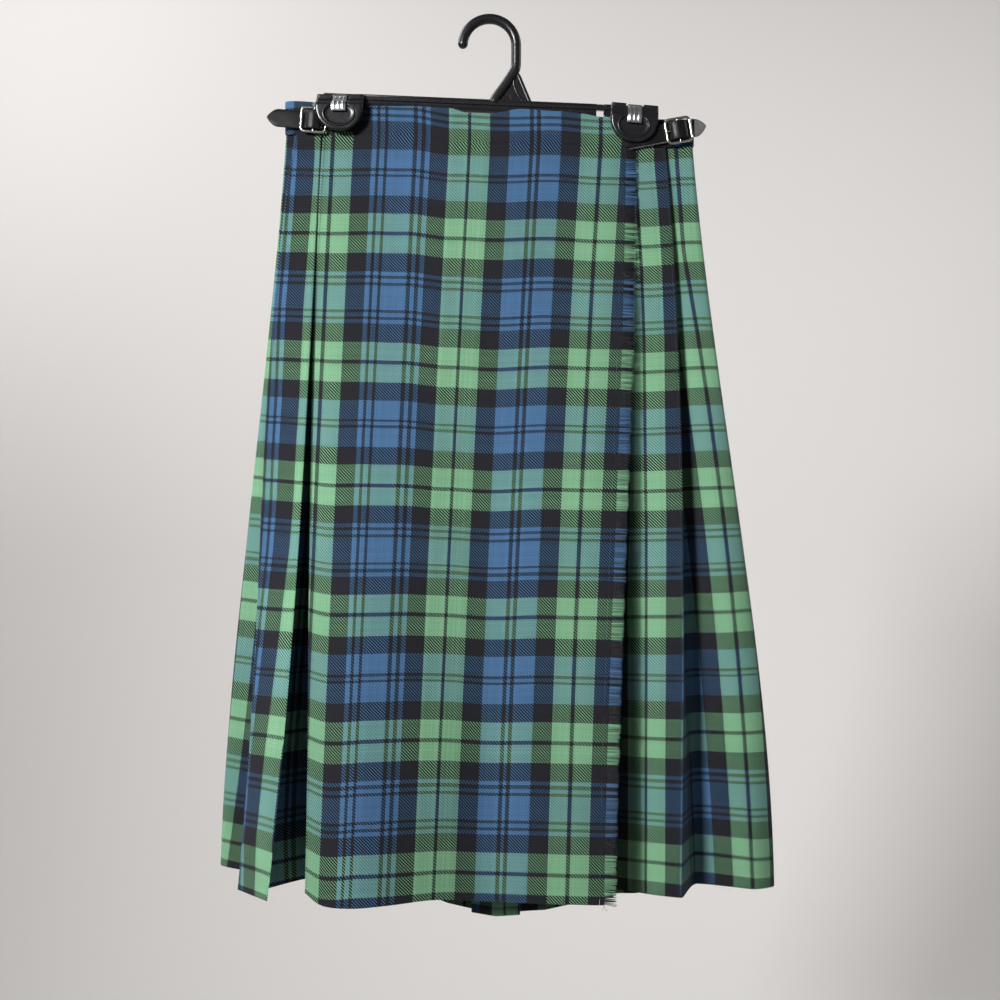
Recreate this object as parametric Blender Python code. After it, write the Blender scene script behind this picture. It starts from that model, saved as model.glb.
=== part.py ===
"""Kilted skirt on a clip hanger: tartan wrap skirt with edge-stitched pleats, a fringed
outer apron, two leather straps with buckles, and a one-piece plastic hanger with spring clips.

Frame: +X to the viewer's right, -Y towards the viewer, +Z up, sizes in millimetres.
The origin is the highest point inside the hook, where a rail carries the hanger.
"""
import math
from collections import namedtuple

import bmesh
import bpy
from mathutils import Matrix, Vector

MM = 0.001
GAP = 0.3

# ---------------------------------------------------------------- cloth sizes
CLOTH = 1.2                 # thickness of the wool twill
LAYER = 1.8                 # spacing of folded layers at the waist
OPENING_POWER = 1.2         # how the pleats swing out of the flat waist towards the hem
KEYS = (0.0, 0.26, 0.55, 1.0)        # waist seam, hip, thigh and hem as shares of the length
LEVELS = (0.0, 0.06, 0.15, 0.26, 0.38, 0.50, 0.62, 0.74, 0.87, 1.0)

# Half widths of the skirt at the four key heights.
LEFT_SIDE = (182.3, 200.0, 224.4, 254.0)
RIGHT_SIDE = (182.3, 203.7, 233.5, 264.5)

# Height of the waist seam across the front and the back.
Height = namedtuple("Height", "x z")
SEAM_FRONT = [Height(*row) for row in (
    (-182.3, -101.1), (-148.0, -101.3), (-102.0, -101.0), (-73.0, -102.2), (-30.0, -108.6),
    (14.0, -110.8), (54.0, -110.0), (100.0, -112.8), (130.0, -113.2), (182.3, -112.0))]
BAND_TOP_FRONT = [Height(*row) for row in (
    (-182.3, -70.2), (-112.0, -76.0), (-71.0, -76.4), (-36.0, -78.3), (-18.0, -82.8),
    (0.0, -83.3), (28.0, -79.2), (63.0, -80.9), (81.0, -82.9), (101.0, -85.7), (182.3, -85.2))]
BAND_HEIGHT = 27.0          # where the band is not seen from the front

# ------------------------------------------------- outer apron and its fringe
FRINGE_ROOT = (122.1, 115.9, 106.4, 100.0)       # x of the fringed edge at the key heights
APRON_FOLD = (-148.8, -157.3, -160.3, -163.1)    # x of the stitched left fold
FRINGE_STRIP = 4.0
FRINGE_LENGTH = 11.5
LOCKS = 120
Wave = namedtuple("Wave", "across y_waist y_hem z_hem")
APRON = [Wave(*row) for row in (
    (0.00, -6.2, -20.0, -787.1), (0.25, -8.6, -20.0, -785.0), (0.40, -9.0, -13.0, -785.4),
    (0.56, -9.0, -27.0, -780.3), (0.72, -8.4, -43.0, -780.7), (0.83, -7.4, -50.0, -781.2),
    (0.93, -6.4, -41.0, -781.3), (1.00, -5.8, -20.0, -776.2))]

# ------------------------------------------------------- folds of the sides
# x at the waist, hip, thigh and hem; depth y at the waist and the hem; height of the hem.
Fold = namedtuple("Fold", "name waist hip thigh hem y_waist y_hem z_hem soft steps")
LEFT_FOLDS = [Fold(*row) for row in (
    ("apron_nose", -148.8, -157.0, -159.6, -161.5, -4.0, -17.0, -777.0, False, 2),
    ("recess_start", -131.0, -142.0, -150.0, -156.0, -4.0, -2.0, -778.0, False, 2),
    ("recess_turn", -131.0, -141.0, -148.5, -153.0, -2.2, 14.0, -775.5, False, 1),
    ("left_join", -138.0, -147.5, -155.0, -161.0, -2.2, 12.6, -775.4, False, 1),
    ("recess_middle", -146.0, -155.0, -162.0, -170.0, -2.2, 10.0, -775.2, True, 2),
    ("recess_end", -160.0, -171.0, -184.0, -199.0, -2.2, -5.0, -776.4, False, 2),
    ("first_return", -160.0, -173.0, -188.0, -213.0, -4.0, -19.0, -776.0, False, 2),
    ("first_nose", -151.0, -159.8, -168.6, -192.4, -4.0, -44.0, -775.0, False, 1),
    ("first_right", -151.0, -159.8, -168.2, -192.0, -5.8, -48.0, -774.9, False, 3),
    ("first_left", -172.3, -192.0, -203.2, -224.0, -5.0, -12.0, -775.0, False, 1),
    ("first_back", -172.3, -191.8, -202.6, -222.6, -3.2, -9.6, -775.4, False, 2),
    ("second_return", -164.0, -177.0, -186.0, -203.0, -3.2, 16.0, -776.0, False, 1),
    ("second_nose", -164.0, -177.0, -186.0, -203.0, -1.4, 29.0, -776.0, False, 2),
    ("second_start", -173.0, -188.0, -206.0, -228.0, -1.4, 50.0, -775.8, True, 2),
)]
RIGHT_FOLDS = [Fold(*row) for row in (
    ("last_edge", 180.6, 202.5, 232.0, 263.5, -2.4, 40.0, -787.7, True, 2),
    ("last_bulge", 174.0, 193.4, 218.8, 245.1, -2.2, 32.0, -787.8, True, 2),
    ("last_flat", 168.0, 183.3, 203.1, 227.8, -1.6, 39.0, -788.0, True, 2),
    ("last_valley", 161.8, 173.9, 185.6, 194.1, -0.6, 50.0, -788.0, True, 2),
    ("last_under", 150.0, 160.0, 174.0, 188.0, -0.4, 44.0, -788.4, False, 1),
    ("ridge_under", 150.0, 159.6, 172.2, 183.4, -2.2, 33.0, -788.6, False, 2),
    ("ridge_nose", 160.4, 170.0, 174.6, 176.0, -2.2, 12.0, -789.0, False, 1),
    ("ridge", 160.7, 170.3, 174.4, 173.4, -4.0, 8.0, -789.0, False, 2),
    ("ridge_flat", 147.0, 152.0, 152.0, 149.0, -4.2, 17.0, -788.9, True, 2),
    ("valley_side", 139.0, 139.0, 138.0, 132.0, -4.2, 27.0, -788.9, True, 2),
    ("under_fold", 132.2, 129.6, 126.7, 113.5, -4.0, 39.0, -789.0, False, 1),
    ("under_nose", 132.2, 129.8, 127.0, 114.5, -2.2, 41.6, -789.0, False, 2),
    ("under_return", 142.0, 140.0, 138.0, 128.0, -2.2, 46.0, -788.5, False, 1),
    ("under_turn", 142.0, 140.0, 138.0, 128.5, -0.4, 49.5, -788.0, False, 1),
    ("right_join", 132.0, 130.0, 127.0, 117.0, -0.4, 44.5, -787.8, False, 3),
    ("under_right", 108.0, 105.0, 100.0, 92.0, -4.0, 34.0, -787.0, True, 3),
    ("under_middle", 40.0, 36.0, 30.0, 24.0, -6.4, 14.0, -785.5, True, 3),
    ("under_centre", -40.0, -44.0, -50.0, -56.0, -6.2, 2.0, -781.5, True, 3),
    ("under_left", -100.0, -108.0, -110.0, -112.0, -4.6, -20.0, -778.5, True, 2),
    ("under_edge", -122.0, -128.0, -131.0, -134.0, -3.6, -26.0, -778.0, True, 1),
)]

# ----------------------------------------------------------- pleated back
Base = namedtuple("Base", "across y_waist y_hem z_waist z_hem")
BACK_BASE = [Base(*row) for row in (
    (-1.000, 0.0, 62.0, -101.1, -774.0), (-0.985, 3.4, 80.0, -102.0, -775.0),
    (-0.900, 6.2, 95.0, -106.0, -778.0), (-0.620, 8.2, 92.0, -118.0, -792.0),
    (-0.300, 9.8, 66.0, -133.0, -793.0), (0.000, 10.2, 50.0, -138.0, -815.0),
    (0.300, 9.8, 56.0, -136.0, -805.0), (0.620, 8.2, 78.0, -122.0, -798.0),
    (0.900, 6.2, 86.0, -113.0, -789.0), (0.985, 3.4, 68.0, -112.1, -788.0),
    (1.000, 0.0, 48.0, -112.0, -787.6))]
PLEAT_PITCH = 0.0765        # share of the back that one pleat shows
PLEAT_SHARES = (0.496, 0.4195, 0.343, 0.2665, 0.190, 0.1225, 0.058)
PLEAT_HIDDEN = (16.0, 19.0)          # depth of the hidden fold at the waist and the hem
PLEAT_LAYER = (LAYER, 5.0)           # spacing of its layers at the waist and the hem
SIDE_HIDDEN = (8.0, 16.0)            # the same beside the turn of the flat waist
PLEAT_REST = 3.0            # how far a pleat's face lies flat beyond its hidden fold
PLEAT_CLEAR = 2.0           # how far the cloth runs on past the fold edge before it rises
JOIN_PLEAT = 4              # the pleat on each side that hides a seam


def lagrange(values, t):
    """Value at height t of the cubic through the four key heights."""
    total = 0.0
    for i, value in enumerate(values):
        weight = 1.0
        for j, key in enumerate(KEYS):
            if j != i:
                weight *= (t - key) / (KEYS[i] - key)
        total += weight * value
    return total


def mix(a, b, share):
    return a + (b - a) * share


def swing(waist, hem, t):
    """Depth at height t between its values at the waist and the hem."""
    return mix(waist, hem, t ** OPENING_POWER)


def height_at(table, x):
    """Height at x on a line given by a table of heights."""
    if x <= table[0].x:
        return table[0].z
    for left, right in zip(table, table[1:]):
        if x <= right.x:
            share = (x - left.x) / (right.x - left.x)
            share = share * share * (3.0 - 2.0 * share)
            return mix(left.z, right.z, share)
    return table[-1].z


def seam_back(x):
    half = LEFT_SIDE[0]
    table = [Height(row.across * half, row.z_waist) for row in BACK_BASE]
    return height_at(table, x)


# ------------------------------------------------------- the long folded strip
Knot = namedtuple("Knot", "name point soft steps")


def smooth_path(knots):
    """Points through the knots, rounded at the soft ones, and the index of each named knot."""
    points = []
    index = {}
    count = len(knots)

    def tangent(i, length):
        here = knots[i].point
        if i == 0 or i == count - 1 or not knots[i].soft:
            return None
        before = knots[i - 1].point
        after = knots[i + 1].point
        span = (after - here).length + (here - before).length
        return (after - before) * (length / span)

    for i in range(count - 1):
        start = knots[i].point
        end = knots[i + 1].point
        length = (end - start).length
        leave = tangent(i, length) or (end - start)
        arrive = tangent(i + 1, length) or (end - start)
        index[knots[i].name] = len(points)
        for step in range(knots[i].steps):
            s = step / knots[i].steps
            h00 = 2 * s ** 3 - 3 * s ** 2 + 1
            h10 = s ** 3 - 2 * s ** 2 + s
            h01 = -2 * s ** 3 + 3 * s ** 2
            h11 = s ** 3 - s ** 2
            points.append(start * h00 + leave * h10 + end * h01 + arrive * h11)
    index[knots[-1].name] = len(points)
    points.append(knots[-1].point)
    return points, index


def apron_knots(t):
    knots = []
    strip = FRINGE_STRIP + GAP / 2
    root = lagrange(FRINGE_ROOT, t) - strip
    fold = lagrange(APRON_FOLD, t)
    for number, row in enumerate(APRON):
        x = mix(root, fold, row.across)
        x_waist = mix(FRINGE_ROOT[0] - strip, APRON_FOLD[0], row.across)
        z = mix(height_at(SEAM_FRONT, x_waist), row.z_hem, t)
        last = number == len(APRON) - 1
        name = "apron_fold" if last else "apron_%d" % number
        point = Vector((x, swing(row.y_waist, row.y_hem, t), z))
        knots.append(Knot(name, point, not last, 1 if last else 2))
    return knots


def side_knots(folds, t):
    knots = []
    for row in folds:
        x = lagrange((row.waist, row.hip, row.thigh, row.hem), t)
        z = mix(height_at(SEAM_FRONT, row.waist), row.z_hem, t)
        point = Vector((x, swing(row.y_waist, row.y_hem, t), z))
        knots.append(Knot(row.name, point, row.soft, row.steps))
    return knots


def back_curve(t):
    """Function giving the point of the back at a share of its length and a depth inside it."""
    knots = []
    for number, row in enumerate(BACK_BASE):
        side = LEFT_SIDE if row.across < 0 else RIGHT_SIDE
        x = row.across * lagrange(side, t)
        point = Vector((x, swing(row.y_waist, row.y_hem, t), mix(row.z_waist, row.z_hem, t)))
        knots.append(Knot("base_%d" % number, point, True, 16))
    points, _ = smooth_path(knots)
    lengths = [0.0]
    for a, b in zip(points, points[1:]):
        lengths.append(lengths[-1] + math.hypot(b.x - a.x, b.y - a.y))
    total = lengths[-1]

    def at(share, shift, inside):
        """Point at a share of the curve, moved along it by shift and inwards by inside."""
        want = min(max(share * total + shift, 0.0), total)
        number = 1
        while number < len(lengths) - 1 and lengths[number] < want:
            number += 1
        span = lengths[number] - lengths[number - 1]
        part = (want - lengths[number - 1]) / span
        point = points[number - 1].lerp(points[number], part)
        low = max(number - 6, 0)
        high = min(number + 5, len(points) - 1)
        along = (points[high] - points[low]).to_2d().normalized()
        inward = Vector((along.y, -along.x, 0.0))
        return point + inward * inside

    return at


def pleat_corners(name, at, share, depth, layer, way):
    """Corners of one knife pleat, from its flat face round the fold to the cloth behind it."""
    corners = [(name + "_face", at(share, way * (depth + PLEAT_REST), 0.1 * layer), True),
               (name, at(share, 0.0, 0.0), False),
               (name + "_nose", at(share, 0.0, layer), False),
               (name + "_return", at(share, way * depth, layer), False),
               (name + "_inner", at(share, way * depth, 2 * layer), False),
               (name + "_lap", at(share, way * 0.4 * depth, 2 * layer), False),
               (name + "_clear", at(share, -way * PLEAT_CLEAR, 2 * layer), False)]
    return corners


def back_knots(t):
    """Knife pleats that fold towards the centre back, where two of them meet."""
    at = back_curve(t)
    layer = swing(*PLEAT_LAYER, t)
    last = len(PLEAT_SHARES) - 1
    left = []
    right = []
    for number, share in enumerate(PLEAT_SHARES):
        depth = swing(*(SIDE_HIDDEN if number == last else PLEAT_HIDDEN), t)
        outward = pleat_corners("left_pleat_%d" % number, at, share, depth, layer, -1)
        inward = pleat_corners("right_pleat_%d" % number, at, 1.0 - share, depth, layer, 1)
        for corners in (outward, inward):
            if number == 0:
                corners.pop(6)
            if number != JOIN_PLEAT:
                corners.pop(5)
        left = outward + left
        right += inward[::-1]
    corners = [("left_side", at(0.0, 0.0, 0.0), True), *left,
               ("centre_back", at(0.5, 0.0, 2 * layer), False), *right,
               ("right_side", at(1.0, 0.0, 0.0), True)]
    knots = []
    for number, (name, point, soft) in enumerate(corners):
        beside = corners[min(number + 1, len(corners) - 1)][2]
        knots.append(Knot(name, point, soft, 2 if soft or beside else 1))
    return knots


def strip_section(t):
    """Horizontal run of the whole skirt cloth at height t, from the fringe to the under edge."""
    knots = apron_knots(t)
    knots += side_knots(LEFT_FOLDS, t)
    knots += back_knots(t)
    knots += side_knots(RIGHT_FOLDS, t)
    return smooth_path(knots)


def skirt_levels():
    """The whole strip at every level, with its top edge lying exactly on the waist seam."""
    sections = [strip_section(t) for t in LEVELS]
    waist, index = sections[0]
    lift = []
    for number, point in enumerate(waist):
        behind = index["left_side"] <= number <= index["right_side"]
        seam = seam_back(point.x) if behind else height_at(SEAM_FRONT, point.x)
        lift.append(seam - point.z)
    levels = []
    for t, (points, _) in zip(LEVELS, sections):
        levels.append([p + Vector((0, 0, d * (1 - t))) for p, d in zip(points, lift)])
    return levels, index


# ------------------------------------------------------------- mesh helpers
def collection(name):
    made = bpy.data.collections.new(name)
    bpy.context.scene.collection.children.link(made)
    return made


def material(name, colour, roughness, metallic=0.0):
    made = bpy.data.materials.new(name)
    made.use_nodes = True
    shader = made.node_tree.nodes["Principled BSDF"]
    shader.inputs["Base Color"].default_value = (*colour, 1.0)
    shader.inputs["Roughness"].default_value = roughness
    shader.inputs["Metallic"].default_value = metallic
    made.diffuse_color = (*colour, 1.0)
    return made


def object_from(name, bm, target, finish):
    """Object in metres from a bmesh drawn in millimetres, with its own material."""
    bmesh.ops.scale(bm, vec=(MM, MM, MM), verts=bm.verts)
    bmesh.ops.recalc_face_normals(bm, faces=bm.faces)
    mesh = bpy.data.meshes.new(name)
    bm.to_mesh(mesh)
    bm.free()
    mesh.materials.append(material(name, *finish))
    mesh.shade_smooth()
    mesh.set_sharp_from_angle(angle=math.radians(35))
    made = bpy.data.objects.new(name, mesh)
    target.objects.link(made)
    return made


def side_steps(points):
    """Mitred horizontal steps to the left of a run of points, one unit thick."""
    normals = []
    for a, b in zip(points, points[1:]):
        along = (b - a).to_2d()
        along.normalize()
        normals.append(Vector((-along.y, along.x)))
    steps = [normals[0]]
    for before, after in zip(normals, normals[1:]):
        mitre = (before + after) / max(1.0 + before.dot(after), 0.35)
        steps.append(mitre)
    steps.append(normals[-1])
    return [Vector((s.x, s.y, 0.0)) for s in steps]


def pulled_in(points, distance):
    """The run with both ends pulled in, which leaves the seam gap to its neighbours."""
    first = points[0] + (points[1] - points[0]).normalized() * distance
    last = points[-1] + (points[-2] - points[-1]).normalized() * distance
    return [first, *points[1:-1], last]


def wall(name, levels, thickness, target, finish):
    """Closed wall of even thickness through horizontal runs of points, top to bottom."""
    bm = bmesh.new()
    grids = []
    for side in (0.5, -0.5):
        grid = []
        for points in levels:
            steps = side_steps(points)
            row = [bm.verts.new(p + s * side * thickness) for p, s in zip(points, steps)]
            grid.append(row)
        grids.append(grid)
    front, back = grids
    rows = len(levels)
    columns = len(levels[0])
    for j in range(rows - 1):
        for i in range(columns - 1):
            for grid in grids:
                bm.faces.new((grid[j][i], grid[j][i + 1], grid[j + 1][i + 1], grid[j + 1][i]))
        for i in (0, columns - 1):
            bm.faces.new((front[j][i], front[j + 1][i], back[j + 1][i], back[j][i]))
    for i in range(columns - 1):
        for j in (0, rows - 1):
            bm.faces.new((front[j][i], front[j][i + 1], back[j][i + 1], back[j][i]))
    return object_from(name, bm, target, finish)


# -------------------------------------------------------------------- cloth
TARTAN = ((0.10, 0.20, 0.17), 0.9)


def skirt_panels(target):
    """The skirt cloth, parted where its seams lie hidden inside the pleats."""
    levels, index = skirt_levels()
    left_seam = "left_pleat_%d_lap" % JOIN_PLEAT
    right_seam = "right_pleat_%d_lap" % JOIN_PLEAT
    parts = (("outer_apron", "apron_0", "left_join"),
             ("left_pleats", "left_join", left_seam),
             ("back_pleats", left_seam, right_seam),
             ("right_pleats", right_seam, "right_join"),
             ("under_apron", "right_join", "under_edge"))
    for name, start, end in parts:
        runs = []
        for points in levels:
            run = pulled_in(points[index[start]:index[end] + 1], GAP / 2)
            runs.append(run)
        runs[0] = [p - Vector((0, 0, GAP / 2)) for p in runs[0]]
        wall(name, runs, CLOTH, target, TARTAN)


def apron_edge(t):
    """Middle of the fringed edge at height t."""
    row = APRON[0]
    x = lagrange(FRINGE_ROOT, t)
    z = mix(height_at(SEAM_FRONT, FRINGE_ROOT[0]), row.z_hem, t)
    return Vector((x, swing(row.y_waist, row.y_hem, t), z))


def apron_fringe(target):
    """Narrow strip at the apron's edge with the weft locks growing out of it."""
    per_block = 4
    lock_share = 0.66
    half = CLOTH / 2
    bm = bmesh.new()

    def ring(t):
        edge = apron_edge(t)
        return [bm.verts.new(edge + Vector(step)) for step in (
            (-FRINGE_STRIP, -half, 0), (-FRINGE_STRIP, half, 0), (0, half, 0), (0, -half, 0))]

    def outer_pair(t):
        edge = apron_edge(t)
        return [bm.verts.new(edge + Vector((0, side, 0))) for side in (half, -half)]

    start = 0.001
    pitch = (1.0 - 2 * start) / LOCKS
    above = ring(start)
    bm.faces.new(above)
    for block in range(LOCKS // per_block):
        edge_pairs = [above[2:4]]
        for number in range(per_block):
            lock = block * per_block + number
            middle = start + (lock + 0.5) * pitch
            top = outer_pair(middle - 0.5 * lock_share * pitch)
            bottom = outer_pair(middle + 0.5 * lock_share * pitch)
            edge_pairs += [top, bottom]
            tilt = 1.1 * math.sin(lock * 1.9) + 0.8 * math.sin(lock * 0.37)
            length = FRINGE_LENGTH + 1.2 * math.sin(lock * 2.7)
            tip = apron_edge(middle) + Vector((length, -0.4 * math.sin(lock * 1.3), tilt - 1.0))
            ends = [bm.verts.new(tip + Vector((0, y, z))) for y, z in (
                (0.35, 0.55), (-0.35, 0.55), (-0.35, -0.55), (0.35, -0.55))]
            root = [top[0], top[1], bottom[1], bottom[0]]
            for k in range(4):
                m = (k + 1) % 4
                bm.faces.new((root[k], root[m], ends[m], ends[k]))
            bm.faces.new(ends)
        below = ring(start + (block + 1) * per_block * pitch)
        edge_pairs.append(below[2:4])
        for upper, lower in zip(edge_pairs[0::2], edge_pairs[1::2]):
            bm.faces.new((upper[0], upper[1], lower[1], lower[0]))
        bm.faces.new([above[1], *[pair[0] for pair in edge_pairs], below[1]])
        bm.faces.new([above[0], *[pair[1] for pair in edge_pairs], below[0]])
        bm.faces.new((above[0], above[1], below[1], below[0]))
        above = below
    bm.faces.new(above)
    bmesh.ops.triangulate(bm, faces=bm.faces)
    return object_from("apron_fringe", bm, target, TARTAN)


BAND = 2.2                  # thickness of the folded waistband
SEAM_GAP = 0.4
Place = namedtuple("Place", "x y")
BAND_OUTER = [Place(*row) for row in (
    (129.0, -6.4), (104.0, -7.0), (60.0, -9.0), (0.0, -9.4), (-60.0, -9.0),
    (-100.0, -7.8), (-135.0, -6.4), (-165.0, -5.0), (-176.0, -3.8), (-181.0, -2.4),
    (-182.6, -1.0), (-182.7, 0.2))]
BAND_UNDER = [Place(*row) for row in (
    (182.7, 0.2), (182.6, -0.8), (181.2, -2.0), (176.0, -2.8), (168.0, -3.0),
    (150.0, -3.4), (132.0, -3.5), (104.0, -4.2), (60.0, -6.2), (0.0, -6.6),
    (-60.0, -6.2), (-100.0, -4.6), (-125.0, -3.8))]
BAND_TURN = ((182.6, 1.5), (180.9, 3.3))         # where the band turns behind
BAND_BACK_SHARES = 11


def waistband(target):
    """Three lengths of the folded band, parted at the side turns."""
    at = back_curve(0.0)
    behind = [BAND_OUTER[-1], *(Place(-x, y) for x, y in BAND_TURN)]
    for number in range(BAND_BACK_SHARES):
        share = mix(0.04, 0.96, number / (BAND_BACK_SHARES - 1))
        point = at(share, 0.0, 0.3)
        behind.append(Place(point.x, point.y))
    behind += [*(Place(x, y) for x, y in reversed(BAND_TURN)), BAND_UNDER[0]]
    fronts = (("waistband_outer", BAND_OUTER), ("waistband_under", BAND_UNDER))
    for name, places in (*fronts, ("waistband_back", behind)):
        at_back = name == "waistband_back"
        knots = []
        for number, place in enumerate(places):
            knots.append(Knot("band_%d" % number, Vector((place.x, place.y, 0)), True, 2))
        line, _ = smooth_path(knots)
        line = pulled_in(line, GAP / 2)
        bottom = []
        top = []
        for p in line:
            seam = seam_back(p.x) if at_back else height_at(SEAM_FRONT, p.x)
            rim = seam + BAND_HEIGHT if at_back else height_at(BAND_TOP_FRONT, p.x)
            if name == "waistband_under":
                rim -= 1.5
            bottom.append(Vector((p.x, p.y, seam + SEAM_GAP)))
            top.append(Vector((p.x, p.y, rim)))
        middle = [a.lerp(b, 0.5) for a, b in zip(top, bottom)]
        wall(name, [top, middle, bottom], BAND, target, TARTAN)


# --------------------------------------------------------- straps and buckles
LEATHER = ((0.012, 0.011, 0.012), 0.45)
NICKEL = ((0.62, 0.60, 0.56), 0.28, 1.0)
STRAP_WIDTH = 16.0
STRAP = 1.6
TAB = 1.2
FRAME_WIDTH = 24.5
FRAME_HEIGHT = 23.5
FRAME_WIRE = 1.25           # radius of the frame's wire
BAR_WIRE = 0.9              # radius of the centre bar
PRONG_WIRE = 0.7
PRONG_HOLE = 2.6
# Each side: centre of the buckle, tilt in degrees, which way the tip points, reach of the tip
# and of the strap's root from the centre bar, and the face of the band behind the buckle.
Buckle = namedtuple("Buckle", "name x z tilt way tip root face")
BUCKLES = (Buckle("right", 168.9, -98.4, 10.0, 1, 25.0, 46.0, -5.4),
           Buckle("left", -156.7, -89.5, -4.0, -1, 42.0, 38.0, -6.8))


def frame_depth(buckle):
    """Depth of the frame's plane: band, tab and strap lie behind its side bars."""
    return buckle.face - GAP - TAB - GAP - STRAP - GAP - FRAME_WIRE


def placed(made, buckle):
    """Turn and move a piece drawn about the middle of the centre bar."""
    move = Matrix.Translation(Vector((buckle.x, 0.0, buckle.z)) * MM)
    turn = Matrix.Rotation(math.radians(-buckle.tilt), 4, "Y")
    made.data.transform(move @ turn)
    return made


def strap_depths(buckle):
    """Middle of the strap at distances from the centre bar, out over the bar and down again."""
    low = buckle.face - GAP - TAB - GAP - STRAP / 2
    loop = BAR_WIRE + GAP + TAB
    high = frame_depth(buckle) - loop - GAP - STRAP / 2
    side = FRAME_WIDTH / 2 - FRAME_WIRE
    rise = mix(low, high, 0.72)
    return ((-buckle.root, low - 0.8), (-side - 8.0, low - 0.1), (-side - 1.0, low),
            (-side + 2.0, low - 0.2), (-side * 0.5, rise), (-1.6, high), (1.6, high),
            (side * 0.5, rise), (side - 2.0, low - 0.2), (side + 1.0, low),
            (side + 8.0, low - 0.1), (buckle.tip, low - 0.2))


def strap(buckle, target, cutters):
    """Leather strap with a pointed tip, bulging over the centre bar."""
    knots = []
    for number, (x, y) in enumerate(strap_depths(buckle)):
        knots.append(Knot("strap_%d" % number, Vector((x * buckle.way, y, 0)), True, 3))
    line, _ = smooth_path(knots)
    steps = side_steps(line)
    half = STRAP_WIDTH / 2
    point_length = 9.0
    bm = bmesh.new()
    rings = []
    for p, s in zip(line, steps):
        left = buckle.tip - p.x * buckle.way
        share = min(max(left / point_length, 0.0), 1.0)
        reach = half * (0.16 + 0.84 * math.sin(share * math.pi / 2))
        ring = []
        for side, z in ((0.5, reach - 0.4), (0.5, -reach + 0.4), (0.2, -reach),
                        (-0.2, -reach), (-0.5, -reach + 0.4), (-0.5, reach - 0.4),
                        (-0.2, reach), (0.2, reach)):
            ring.append(bm.verts.new(p + s * side * STRAP + Vector((0, 0, z))))
        rings.append(ring)
    for a, b in zip(rings, rings[1:]):
        for k in range(8):
            m = (k + 1) % 8
            bm.faces.new((a[k], a[m], b[m], b[k]))
    bm.faces.new(rings[0])
    bm.faces.new(rings[-1])
    name = "strap_" + buckle.name
    made = placed(object_from(name, bm, target, LEATHER), buckle)
    slot = bmesh.new()
    bmesh.ops.create_cube(slot, size=1.0)
    bmesh.ops.scale(slot, vec=(6.4, 12.0, PRONG_HOLE), verts=slot.verts)
    bmesh.ops.translate(slot, vec=(-7.0 * buckle.way, frame_depth(buckle), 0), verts=slot.verts)
    cutter = placed(object_from(name + "_slot", slot, cutters, LEATHER), buckle)
    cut(made, cutter, "DIFFERENCE")


def buckle_tab(buckle, target):
    """Leather tab that holds the buckle: a loop round the centre bar, sewn down beside it."""
    middle = frame_depth(buckle)
    radius = BAR_WIRE + GAP + TAB / 2
    low = buckle.face - GAP - TAB / 2
    line = [(17.0, low), (12.5, low), (8.0, low), (3.6, low - 1.4)]
    turns = 12
    for number in range(turns + 1):
        angle = math.radians(mix(75.0, 335.0, number / turns))
        line.append((radius * math.cos(angle), middle + radius * math.sin(angle)))
    half = STRAP_WIDTH / 2 - 0.6
    line = [Vector((x * buckle.way, y, -half)) for x, y in line]
    lift = Vector((0, 0, 2 * half))
    tab_wall = [[p + lift for p in line], line]
    made = wall("buckle_tab_" + buckle.name, tab_wall, TAB, target, LEATHER)
    placed(made, buckle)


def tube(name, points, radius, target, finish, closed=False, resolution=2):
    """Round bar along points as a mesh with filled ends."""
    data = bpy.data.curves.new(name, "CURVE")
    data.dimensions = "3D"
    data.bevel_depth = radius * MM
    data.bevel_resolution = resolution
    data.use_fill_caps = True
    spline = data.splines.new("POLY")
    spline.points.add(len(points) - 1)
    spline.use_cyclic_u = closed
    for node, p in zip(spline.points, points):
        node.co = (p[0] * MM, p[1] * MM, p[2] * MM, 1.0)
    drawn = bpy.data.objects.new(name + "_curve", data)
    bpy.context.scene.collection.objects.link(drawn)
    bpy.context.view_layer.update()
    evaluated = drawn.evaluated_get(bpy.context.evaluated_depsgraph_get())
    mesh = bpy.data.meshes.new_from_object(evaluated)
    bpy.data.objects.remove(drawn)
    bm = bmesh.new()
    bm.from_mesh(mesh)
    bmesh.ops.remove_doubles(bm, verts=bm.verts, dist=0.00001)
    bmesh.ops.scale(bm, vec=(1 / MM, 1 / MM, 1 / MM), verts=bm.verts)
    bpy.data.meshes.remove(mesh)
    return object_from(name, bm, target, finish)


def cut(made, other, operation):
    """Apply a Boolean of another object and keep the result as the object's own mesh."""
    other.hide_render = True
    other.display_type = "WIRE"
    modifier = made.modifiers.new(operation.title(), "BOOLEAN")
    modifier.operation = operation
    modifier.solver = "EXACT"
    modifier.object = other
    bpy.context.view_layer.update()
    evaluated = made.evaluated_get(bpy.context.evaluated_depsgraph_get())
    mesh = bpy.data.meshes.new_from_object(evaluated)
    made.modifiers.remove(modifier)
    mesh.name = made.name
    made.data = mesh
    mesh.shade_smooth()
    mesh.set_sharp_from_angle(angle=math.radians(35))


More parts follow.
